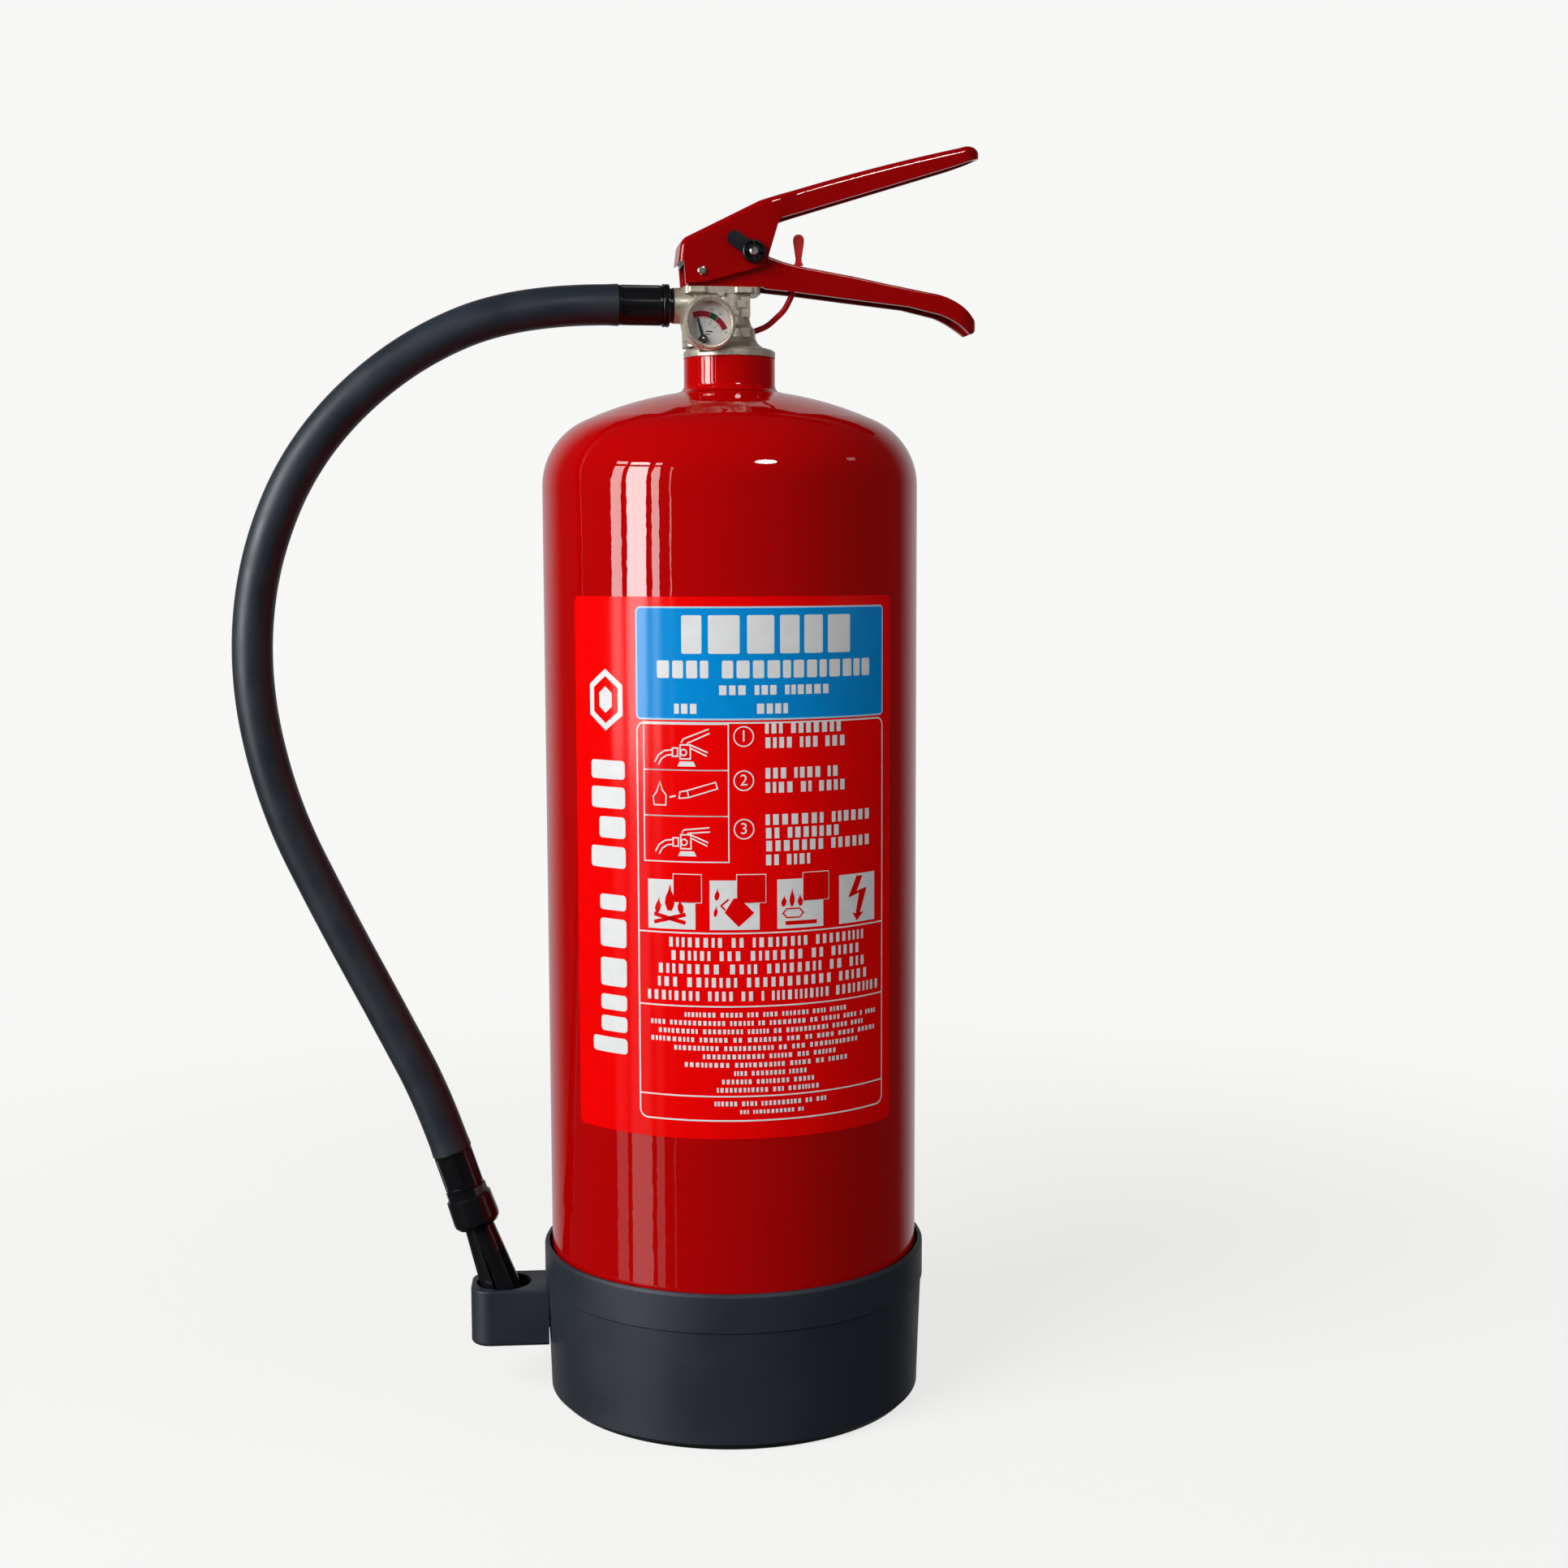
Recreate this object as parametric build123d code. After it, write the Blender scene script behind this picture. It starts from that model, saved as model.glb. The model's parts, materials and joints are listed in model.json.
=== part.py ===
from build123d import *
import math
import os

# Six kilogram stored-pressure powder fire extinguisher. Millimetres, +Z up.
# Origin: centre of the foot, on the floor, on the cylinder's axis.
# +X is the way the handles point, -X the hose side, -Y the front with the gauge and the label.

# ---- driving dimensions -------------------------------------------------------------------
SHELL_R = 80.0              # steel cylinder, outside radius
SHELL_WALL = 1.5
SEAM_Z = 44.0               # weld between the cylinder and its bottom dome
SHOULDER_Z = 395.2          # where the straight wall ends and the shoulder begins
KNUCKLE_R = 30.0            # shoulder's small radius
CROWN_R = 150.0             # shoulder's large radius

NECK_R = 19.4
NECK_BORE_R = 14.3
NECK_TOP_Z = 449.2          # seat of the valve's flange
WELD_R = 3.6                # weld fillet between neck and shoulder
O_RING_R, O_RING_WIRE_R = 15.95, 1.2

BOOT_TOP_Z = 67.0
BOOT_FOOT_R = 81.0          # plastic boot at the floor
BOOT_WAIST_R = 82.7         # just below the rim band
BOOT_BAND_R = 83.3          # rim band
BOOT_BAND_Z = 51.0          # lower edge of the rim band
BOOT_FLOOR = 3.0

HOLDER_AZ = 175.0           # degrees from +X, where the nozzle holder stands out of the boot
HOLDER_R = 101.6            # from the cylinder's axis to the socket's centre
HOLDER_TOP_Z, HOLDER_BOTTOM_Z = 47.8, 23.0
HOLDER_WIDTH = 28.4
SOCKET_R = 12.0
SOCKET_FLOOR = 2.2

LABEL_START, LABEL_END = -60.4, 46.6     # degrees round from the front (-Y) towards +X
LABEL_BOTTOM_Z, LABEL_TOP_Z = 130.9, 349.5
LABEL_FILM = 0.2
LABEL_CORNER_R = 3.0

POWDER_TOP_Z = 302.5         # six kilograms, a little settled

FLANGE_R, FLANGE_TOP_Z = 19.5, 452.4
TABLE_Z = 478.4             # top of the valve, where the carrying handle stands
BLOCK_TOP_Z = 491.0         # top of the stem block between the handle's cheeks
BLOCK_HALF_Y = 6.0
OUTLET_Z = 471.0
OUTLET_R = 7.5
OUTLET_END_X = -24.0
OUTLET_BORE_R = 4.5

CHEEK = 2.0                 # sheet thickness of both handles
CARRY_HALF_Y = 8.2
LEVER_HALF_Y = 10.5
ARM_HALF_Y, LEVER_END_HALF_Y = 8.5, 7.8
LEVER_EDGE_R = 2.4          # pressed radius along the squeeze lever's top edges

PIVOT_X, PIVOT_Z, PIVOT_R = -12.8, 484.6, 2.0
PIN_X, PIN_Z, PIN_R = 8.8, 492.7, 1.9
SQUEEZE_DEG = 9.5
RIVET_X, RIVET_Z, RIVET_R = -7.2, 487.4, 1.5
RUNNING = 0.05              # radial clearance of a shaft that turns or slides
LOOSE = 0.1

STEM_R = 3.0
STEM_DOME_Z = PIVOT_Z + 17.2             # centre of the stem's round head
SEAT_Z, SEAT_R = 458.0, 4.2              # valve seat, closed from below
DISC_R, DISC_LOW_Z = 5.8, 454.0
CHAMBER_R, CHAMBER_LOW_Z = 6.5, 436.0
DIP_R, DIP_BORE_R, DIP_LOW_Z = 7.0, 4.8, 14.0
SPRING_R, SPRING_WIRE_R, SPRING_TURNS = 5.3, 0.6, 5

GAUGE_X, GAUGE_Y, GAUGE_Z = -10.9, -22.6, 462.0      # centre of the bezel's front edge
GAUGE_TURN = 8.0            # degrees its face is turned from the front towards +X
GAUGE_R = 11.2
GAUGE_DEPTH = 9.0
NEEDLE_X, NEEDLE_UP = -2.3, -6.7         # needle's pivot on the dial, from the dial's centre
NEEDLE_LENGTH = 9.2
NEEDLE_HUB_R = 1.8
NEEDLE_REST = 106.0         # degrees from the dial's own right, against the stop at zero pressure

HOSE_R = 8.6
HOSE_START_X = -47.4
FERRULE_R = 8.4
NUT_R = 9.0
NOZZLE_TILT = 18.3          # degrees from upright, leaning away from the cylinder
NOZZLE_REACH = 103.6        # nozzle's axis from the cylinder's axis, at the holder's top
NOZZLE_TIP_Z = 35.0
NOZZLE_TIP_R, NOZZLE_TOP_R, NOZZLE_BORE_R = 9.3, 6.4, 4.6
COLLAR_LOW, COLLAR_HIGH, COLLAR_R = 27.8, 41.6, 10.2     # along the nozzle's axis from the holder's top
CAP_HIGH, CAP_R = 45.2, 9.0
FERRULE_HIGH = 62.8


# ---- small helpers ------------------------------------------------------------------------
def lathe(points):
    """Solid of revolution about Z from a closed outline of (radius, height) points."""
    return revolve(Plane.XZ * make_face(Polyline(*points, close=True)), Axis.Z)


def drum(radius, low, high, x=0.0, y=0.0):
    """Upright round bar."""
    return Pos(x, y, low) * Cylinder(radius, high - low, align=(Align.CENTER, Align.CENTER, Align.MIN))


def bar_x(radius, start, end, z, y=0.0):
    """Round bar along X."""
    return Pos((start + end) / 2, y, z) * Rot(0, 90, 0) * Cylinder(radius, abs(end - start))


def bar_y(radius, start, end, x, z):
    """Round bar along Y."""
    return Pos(x, (start + end) / 2, z) * Rot(90, 0, 0) * Cylinder(radius, abs(end - start))


def block(low, high):
    """Box between two corners."""
    size = [b - a for a, b in zip(low, high)]
    middle = [(a + b) / 2 for a, b in zip(low, high)]
    return Pos(*middle) * Box(*size)


def side_plate(outline, half):
    """Plate drawn from the side (X, Z) and as thick as twice half along Y."""
    return extrude(Plane.XZ * make_face(outline), amount=half, both=True)


def one(shape):
    """The single solid of a shape, as a plain Solid."""
    solids = shape.solids()
    assert len(solids) == 1, f"{len(solids)} solids where one was meant"
    return solids[0]


def polar(radius, degrees, z=0.0):
    """Point at an angle round from +X."""
    return (radius * math.cos(math.radians(degrees)), radius * math.sin(math.radians(degrees)), z)


# ---- pressure vessel ----------------------------------------------------------------------
def dome_points(inset, hole_r, knuckle_z, up=1):
    """Dished end, moved inward by inset: wall start, knuckle middle, tangent point, crown middle, hole edge."""
    run = SHELL_R - KNUCKLE_R
    crown_drop = math.sqrt((CROWN_R - KNUCKLE_R) ** 2 - run ** 2)
    tangent = math.atan2(crown_drop, run)
    knuckle, crown = KNUCKLE_R - inset, CROWN_R - inset
    hole = math.acos(hole_r / crown)

    def on_knuckle(angle):
        return (run + knuckle * math.cos(angle), knuckle_z + up * knuckle * math.sin(angle))

    def on_crown(angle):
        return (crown * math.cos(angle), knuckle_z + up * (crown * math.sin(angle) - crown_drop))

    middle = (tangent + hole) / 2
    return on_knuckle(0), on_knuckle(tangent / 2), on_crown(tangent), on_crown(middle), on_crown(hole)


def dome_wires(points):
    """Knuckle arc and crown arc through the points of a dished end."""
    wall, knuckle, tangent, crown, edge = points
    return [ThreePointArc(wall, knuckle, tangent), ThreePointArc(tangent, crown, edge)]


def make_cylinder_shell():
    hole_r = 17.1
    outer = dome_points(0, hole_r, SHOULDER_Z)
    inner = dome_points(SHELL_WALL, hole_r, SHOULDER_Z)
    low_out, low_in = (SHELL_R, SEAM_Z), (SHELL_R - SHELL_WALL, SEAM_Z)
    edges = dome_wires(outer) + dome_wires(inner)
    edges += [Line(low_out, outer[0]), Line(low_in, inner[0]), Line(low_out, low_in), Line(outer[4], inner[4])]
    return one(revolve(Plane.XZ * make_face(Curve() + edges), Axis.Z))


def make_bottom_dome():
    outer = dome_points(0, 0.001, SEAM_Z, up=-1)
    inner = dome_points(SHELL_WALL, 0.001, SEAM_Z, up=-1)
    apex_out, apex_in = (0, outer[4][1]), (0, inner[4][1])
    edges = [ThreePointArc(outer[0], outer[1], outer[2]), ThreePointArc(outer[2], outer[3], apex_out)]
    edges += [ThreePointArc(inner[0], inner[1], inner[2]), ThreePointArc(inner[2], inner[3], apex_in)]
    edges += [Line(outer[0], inner[0]), Line(apex_out, apex_in)]
    return one(revolve(Plane.XZ * make_face(Curve() + edges), Axis.Z))


def make_neck_ring():
    foot_r, foot_z, spigot_r = NECK_R + WELD_R, 434.45, 17.0
    weld_top = foot_z + WELD_R
    bend = WELD_R * math.sqrt(0.5)
    groove_r, groove_z = O_RING_R + O_RING_WIRE_R + 0.45, NECK_TOP_Z - 2 * O_RING_WIRE_R - 0.1
    edges = [
        ThreePointArc((NECK_R, weld_top), (foot_r - bend, weld_top - bend), (foot_r, foot_z)),
        Polyline((foot_r, foot_z), (spigot_r, 435.25), (spigot_r, 428), (NECK_BORE_R, 428),
                 (NECK_BORE_R, groove_z), (groove_r, groove_z), (groove_r, NECK_TOP_Z),
                 (NECK_R - 0.5, NECK_TOP_Z), (NECK_R, NECK_TOP_Z - 0.5), (NECK_R, weld_top)),
    ]
    return one(revolve(Plane.XZ * make_face(Curve() + edges), Axis.Z))


def make_neck_seal():
    return one(Pos(0, 0, NECK_TOP_Z - O_RING_WIRE_R - 0.05) * Torus(O_RING_R, O_RING_WIRE_R))


def make_powder_charge():
    inset = SHELL_WALL + 0.2
    outer = dome_points(inset, 0.001, SEAM_Z, up=-1)
    apex = (0, outer[4][1])
    edges = [ThreePointArc(outer[0], outer[1], outer[2]), ThreePointArc(outer[2], outer[3], apex)]
    edges += [Polyline(outer[0], (SHELL_R - inset, POWDER_TOP_Z), (0, POWDER_TOP_Z), apex)]
    heap = revolve(Plane.XZ * make_face(Curve() + edges), Axis.Z)
    return one(heap - drum(DIP_R + 0.2, DIP_LOW_Z - 0.5, POWDER_TOP_Z + 1))


def make_dip_tube():
    tube = drum(DIP_R, DIP_LOW_Z, CHAMBER_LOW_Z) - drum(DIP_BORE_R, 0, CHAMBER_LOW_Z + 1)
    slant = Pos(0, 0, DIP_LOW_Z) * Rot(0, 30, 0) * Box(60, 60, 8)
    return one(tube - slant)


# ---- boot, holder and label ---------------------------------------------------------------
def make_base_boot():
    inner_r, lip_r = SHELL_R + 0.2, SHELL_R + 1.3
    foot = [(0, 0), (BOOT_FOOT_R - 3, 0), (BOOT_FOOT_R, 3), (BOOT_FOOT_R + 0.15, 9),
            (BOOT_WAIST_R, BOOT_BAND_Z - 0.6), (BOOT_BAND_R, BOOT_BAND_Z), (BOOT_BAND_R, BOOT_TOP_Z - 1.2),
            (BOOT_BAND_R - 0.7, BOOT_TOP_Z), (lip_r, BOOT_TOP_Z), (lip_r, BOOT_TOP_Z - 3),
            (inner_r, BOOT_TOP_Z - 5), (inner_r, BOOT_FLOOR + 12), (inner_r - 3, BOOT_FLOOR), (0, BOOT_FLOOR)]
    cup = lathe(foot)
    seat = lathe([(58, BOOT_FLOOR - 0.5), (61, BOOT_FLOOR - 0.5), (61, seat_height(61)), (58, seat_height(58))])
    ribs = Part()
    for k in range(12):
        ribs += Rot(0, 0, 15 + 30 * k) * block((60.5, -1.0, BOOT_FLOOR - 0.5), (79.4, 1.0, seat_height(61) - 4))
    drains = Part()
    for k in range(4):
        drains += drum(3.0, -1, BOOT_FLOOR + 1, *polar(40, 45 + 90 * k)[:2])
    return one(cup + seat + ribs - drains)


def seat_height(radius):
    """Height just under the bottom dome's knuckle or crown at a radius."""
    run = SHELL_R - KNUCKLE_R
    crown_drop = math.sqrt((CROWN_R - KNUCKLE_R) ** 2 - run ** 2)
    centre_z = SEAM_Z + crown_drop
    return centre_z - math.sqrt(CROWN_R ** 2 - radius ** 2) - 0.25


def holder_frame():
    """Moves a shape drawn with the socket along local +X to the holder's place."""
    return Rot(0, 0, HOLDER_AZ)


def make_nozzle_holder():
    half, end_r = HOLDER_WIDTH / 2, 9.0
    end_x = HOLDER_R + SOCKET_R + 2.1
    height = HOLDER_TOP_Z - HOLDER_BOTTOM_Z
    arm = Pos(0, 0, HOLDER_BOTTOM_Z) * extrude(make_face(Polyline(
        (74, -half), (end_x, -half), (end_x, half), (74, half), close=True)), amount=height)
    arm = fillet(arm.edges().filter_by(Axis.Z).group_by(Axis.X)[-1], end_r)
    arm = fillet(arm.edges().group_by(Axis.Z)[0], 1.6)
    arm = fillet(arm.edges().group_by(Axis.Z)[-1], 0.7)
    arm -= drum(BOOT_WAIST_R + 0.05, 0, 80)
    arm -= drum(SOCKET_R, HOLDER_BOTTOM_Z + SOCKET_FLOOR, 80, x=HOLDER_R)
    arm -= drum(3.0, 0, 80, x=HOLDER_R)
    return one(holder_frame() * arm)


def make_label():
    inner, outer = SHELL_R + 0.03, SHELL_R + 0.03 + LABEL_FILM
    film = drum(outer, LABEL_BOTTOM_Z, LABEL_TOP_Z) - drum(inner, LABEL_BOTTOM_Z - 1, LABEL_TOP_Z + 1)
    span = math.radians(LABEL_END - LABEL_START)
    middle = math.radians((LABEL_START + LABEL_END) / 2 - 90)
    reach = 3 * SHELL_R
    rim = [(reach * math.cos(middle + span * (k / 6 - 0.5)), reach * math.sin(middle + span * (k / 6 - 0.5)))
           for k in range(7)]
    wedge = extrude(make_face(Polyline((0, 0), *rim, close=True)), amount=500)
    film = film & wedge
    corners = film.edges().filter_by(lambda e: abs(e.length - LABEL_FILM) < 0.01)
    return one(fillet(corners, LABEL_CORNER_R))


# ---- valve --------------------------------------------------------------------------------
def gauge_plane(back=0.0, right=0.0, up=0.0):
    """Plane facing out of the gauge, its local X to the dial's right; back is depth behind the bezel's edge."""
    turn = math.radians(GAUGE_TURN)
    out = Vector(math.sin(turn), -math.cos(turn), 0)
    side = Vector(math.cos(turn), math.sin(turn), 0)
    origin = Vector(GAUGE_X, GAUGE_Y, GAUGE_Z) - out * back + side * right + Vector(0, 0, up)
    return Plane(origin=origin, x_dir=side, z_dir=out)


def gauge_disc(radius, back, front, right=0.0, up=0.0):
    """Disc on the gauge's axis, from back to front measured behind the bezel's edge."""
    return gauge_plane(back, right, up) * Cylinder(radius, back - front,
                                                   align=(Align.CENTER, Align.CENTER, Align.MIN))


def make_valve_body():
    core = lathe([(0, 430), (14.2, 430), (14.2, NECK_TOP_Z), (FLANGE_R, NECK_TOP_Z), (FLANGE_R, FLANGE_TOP_Z - 0.8),
                  (FLANGE_R - 0.8, FLANGE_TOP_Z), (14.5, 453.6), (12.2, 455.4), (11.2, 457.5), (10.9, 461.0),
                  (9.4, 463.0), (8.6, 466.0), (8.4, TABLE_Z - 1), (0, TABLE_Z - 1)])
    tail = drum(10.0, 414, 430.5)
    outlet = bar_x(OUTLET_R, OUTLET_END_X, 0, OUTLET_Z)
    table = fillet(block((-20, -8.6, 475.6), (12.5, 8.6, TABLE_Z)).edges().filter_by(Axis.Z), 2.5)
    stem_block = fillet(block((-17.6, -BLOCK_HALF_Y, 474), (5.4, BLOCK_HALF_Y, BLOCK_TOP_Z)).edges().filter_by(Axis.Y)
                        .group_by(Axis.Z)[-1], 2.5)
    gauge_boss = gauge_disc(9.2, 20, GAUGE_DEPTH + 1.05)
    gauge_boss &= block((-20.2, -40, 440), (30, 40, 500))
    shoulder = fillet(block((-19.8, -9.5, 453.5), (-2.0, 8.6, 470.0)).edges().filter_by(Axis.Z), 5.5)
    side_web = block((-16.0, -7.4, 466.0), (8.0, 7.4, 477.0))
    body = core + tail + outlet + table + stem_block + shoulder + gauge_boss + side_web
    for x in (-14.6, 5.2):
        for side in (-1, 1):
            boss = Pos(x, side * 8.6, 475.9) * extrude(SlotOverall(8.4, 3.4), amount=2.1)
            body += boss
    body += cast_pads()
    lug = fillet(block((-4.0, 7.0, 456.0), (2.0, 15.0, 462.0)).edges().filter_by(Axis.Z).group_by(Axis.Y)[-1], 2.0)
    body += lug
    body -= valve_bores() + gauge_disc(GAUGE_R + 0.4, GAUGE_DEPTH + 1.03, -30)
    return one(body)


def cast_pads():
    """Raised pads left by the casting on the body's front and back, clear of the gauge."""
    pads = Part()
    for x, z, width, height, depth in ((-4.6, 476.2, 2.6, 3.6, 9.6), (3.6, 471.4, 4.6, 3.0, 8.1),
                                       (1.2, 467.6, 3.4, 2.2, 8.9), (5.4, 459.4, 3.8, 3.8, 10.3)):
        for side in (-1, 1):
            pad = Pos(x, side * (depth - 1.5), z) * Box(width, 3.0, height)
            pads += fillet(pad.edges().filter_by(Axis.Y), 0.8)
    return pads


def valve_bores():
    cuts = drum(DIP_R + LOOSE, 410, CHAMBER_LOW_Z) + drum(CHAMBER_R, CHAMBER_LOW_Z - 0.5, SEAT_Z)
    cuts += drum(SEAT_R, SEAT_Z - 1, OUTLET_Z + 3)
    cuts += drum(STEM_R + RUNNING, OUTLET_Z, BLOCK_TOP_Z + 1)
    cuts += drum(4.9, BLOCK_TOP_Z - 3.0, BLOCK_TOP_Z + 1)
    cuts += bar_x(OUTLET_BORE_R, OUTLET_END_X - 1, 0, OUTLET_Z)
    cuts += bar_y(PIVOT_R + 0.02, -10, 10, PIVOT_X, PIVOT_Z)
    cuts += bar_y(RIVET_R + 0.02, -10, 10, RIVET_X, RIVET_Z)
    cuts += gauge_disc(3.6, 21.0, GAUGE_DEPTH + 0.5)
    cuts += drum(1.5, 450, 470, x=-1.0, y=12.6)
    return cuts


def make_stem_gland():
    """Rubber ring in the counterbore at the top of the stem block."""
    return one(drum(4.8, BLOCK_TOP_Z - 2.9, BLOCK_TOP_Z - 0.6) - drum(STEM_R + RUNNING, 480, 500))


def make_valve_stem():
    rod = drum(STEM_R, OUTLET_Z + 3.5, STEM_DOME_Z) + Pos(0, 0, STEM_DOME_Z) * Sphere(STEM_R)
    neck = drum(2.2, SEAT_Z - 2.5, OUTLET_Z + 4)
    disc = drum(DISC_R, DISC_LOW_Z, SEAT_Z - 2.0)
    nose = drum(4.2, DISC_LOW_Z - 4, DISC_LOW_Z + 0.5)
    return one(rod + neck + disc + nose)


def make_stem_seal():
    return one(drum(DISC_R, SEAT_Z - 2.0, SEAT_Z) - drum(2.2, SEAT_Z - 3, SEAT_Z + 1))


def make_stem_spring():
    low, high = CHAMBER_LOW_Z + SPRING_WIRE_R, DISC_LOW_Z - SPRING_WIRE_R
    coil = Helix(pitch=(high - low) / SPRING_TURNS, height=high - low, radius=SPRING_R, center=(0, 0, low))
    section = Plane(coil @ 0, z_dir=coil % 0) * Circle(SPRING_WIRE_R)
    return one(sweep(section, path=coil, is_frenet=True))


# ---- pressure gauge -----------------------------------------------------------------------
def make_gauge_case():
    case = gauge_disc(GAUGE_R - 0.6, GAUGE_DEPTH, 2.0) - gauge_disc(GAUGE_R - 1.6, GAUGE_DEPTH - 1.2, 1.0)
    stud = gauge_disc(3.5, 20.0, GAUGE_DEPTH)
    return one(case + stud)


def make_gauge_bezel():
    ring = revolve(Plane.XZ * make_face(Polyline(
        (GAUGE_R - 0.55, -3.6), (GAUGE_R, -3.6), (GAUGE_R, -1.1), (GAUGE_R - 0.35, -0.35), (GAUGE_R - 1.1, 0),
        (GAUGE_R - 1.6, -0.15), (GAUGE_R - 2.2, -1.1), (GAUGE_R - 2.2, -1.9), (GAUGE_R - 0.55, -1.9),
        close=True)), Axis.Z)
    return one(gauge_plane() * ring)


def make_gauge_lens():
    return one(gauge_disc(GAUGE_R - 2.25, 2.0, 1.0))


def make_gauge_dial():
    dial = gauge_disc(GAUGE_R - 1.7, 4.6, 4.0)
    return one(dial - gauge_disc(0.6, 6, 3, right=NEEDLE_X, up=NEEDLE_UP))


def make_gauge_movement():
    """Bourdon housing behind the dial, with the needle's post."""
    housing = gauge_disc(6.5, GAUGE_DEPTH - 1.2, 4.65)
    return one(housing - gauge_disc(0.6, 6.2, 3, right=NEEDLE_X, up=NEEDLE_UP))


def make_gauge_needle():
    spindle = gauge_disc(0.55, 6.0, 3.4, right=NEEDLE_X, up=NEEDLE_UP)
    hub = gauge_disc(NEEDLE_HUB_R, 3.4, 2.8, right=NEEDLE_X, up=NEEDLE_UP)
    blade = make_face(Polyline((0, -0.6), (NEEDLE_LENGTH - 0.5, -0.34), (NEEDLE_LENGTH, 0),
                               (NEEDLE_LENGTH - 0.5, 0.34), (0, 0.6), close=True))
    blade = gauge_plane(3.4, NEEDLE_X, NEEDLE_UP) * Rot(0, 0, NEEDLE_REST) * extrude(blade, amount=0.35)
    return one(spindle + hub + blade)


def make_gauge_seal():
    """Sealing washer between the gauge's case and its boss."""
    return one(gauge_disc(7.0, GAUGE_DEPTH + 1.0, GAUGE_DEPTH + 0.02) - gauge_disc(3.6, 12, 5))


# ---- handles ------------------------------------------------------------------------------
def lever_side():
    """Side outline of the squeeze lever."""
    top = [Line((-22.6, 487.9), (-21.7, 495.0)), ThreePointArc((-21.7, 495.0), (-20.7, 497.3), (-18.6, 498.9)),
           Line((-18.6, 498.9), (12.0, 514.2)), ThreePointArc((12.0, 514.2), (56.4, 527.8), (99.2, 538.7)),
           ThreePointArc((99.2, 538.7), (104.4, 539.4), (108.4, 538.0)),
           ThreePointArc((108.4, 538.0), (109.2, 536.4), (108.4, 535.0)), Line((108.4, 535.0), (96.1, 530.6))]
    low = [Line((96.1, 530.6), (22.4, 507.6)), ThreePointArc((22.4, 507.6), (20.7, 506.6), (19.7, 505.0)),
           Line((19.7, 505.0), (15.6, 491.8)), ThreePointArc((15.6, 491.8), (14.3, 488.3), (11.0, 486.3)),
           Line((11.0, 486.3), (-11.0, 480.2)), Line((-11.0, 480.2), (-19.7, 479.0)),
           Line((-19.7, 479.0), (-20.4, 488.9)), Line((-20.4, 488.9), (-22.6, 487.9))]
    return Curve() + top + low


def lever_hollow():
    """Side outline of the space under the lever's sheet, open at the bottom and down the back."""
    return Polyline((-30, 470), (-19.4, 488.9), (-19.7, 494.4), (-17.6, 496.8), (9.2, 510.4), (15.3, 512.7),
                    (57.0, 525.75), (99.4, 536.6), (104.2, 536.9), (120, 534.0), (120, 470), close=True)


def lever_plan(inset):
    """Plan outline of the squeeze lever: wide at the cheeks, drawn in along the arm, round at its end."""
    wide, arm, end = LEVER_HALF_Y - inset, ARM_HALF_Y - inset, LEVER_END_HALF_Y - inset
    end_x = 108.3 - inset
    waist = TangentArc((16, -wide), (24, -(wide + arm) / 2), tangent=(1, 0))
    right = [Line((-26, -wide), (16, -wide)), waist,
             TangentArc((24, -(wide + arm) / 2), (32, -arm), tangent=waist % 1),
             Line((32, -arm), (end_x - end, -end))]
    nose = ThreePointArc((end_x - end, -end), (end_x, 0), (end_x - end, end))
    left = [edge.mirror(Plane.XZ) for edge in right]
    return Curve() + right + [nose] + left + [Line((-26, wide), (-26, -wide))]


def lever_blank(side, plan):
    """Space shared by a side outline and a plan outline of the lever."""
    return side_plate(side, 40) & (Pos(0, 0, 465) * extrude(make_face(plan), amount=85))


def make_squeeze_lever():
    outer = lever_blank(lever_side(), lever_plan(0))
    top_edges = [e for e in outer.edges()
                 if e.length > 1 and abs(e.center().Y) > 3 and on_lever_top(e.center())]
    outer = round_edges(outer, top_edges, LEVER_EDGE_R)
    lever = outer - lever_blank(lever_hollow(), lever_plan(CHEEK))
    lever -= bar_y(PIVOT_R + RUNNING, -20, 20, PIVOT_X, PIVOT_Z)
    lever -= bar_y(PIN_R + LOOSE, -20, 20, PIN_X, PIN_Z)
    return one(lever)


def on_lever_top(point):
    """Whether a point lies on the lever's upper surface."""
    line = 498.9 + (point.X + 18.6) * 0.502 if point.X < 9 else 514.7 + (point.X - 14.6) * 0.30
    return point.Z > line - 2.2


def round_edges(solid, edges, radius):
    """Rounds edges, with a smaller radius if the first can't be made."""
    for r in (radius, radius * 0.7, radius * 0.4):
        try:
            return fillet(edges, r)
        except (ValueError, RuntimeError):
            continue
    print("edges left sharp")
    return solid


def carry_top(drop):
    """Upper line of the carrying handle, from over the valve to the turned-down end."""
    return [(15.6, 491.4 - drop), (22, 489.2 - drop), (29, 487.5 - drop), (51.6, 483.8 - drop),
            (67.1, 480.8 - drop), (86.0, 477.4 - drop)]


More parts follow.
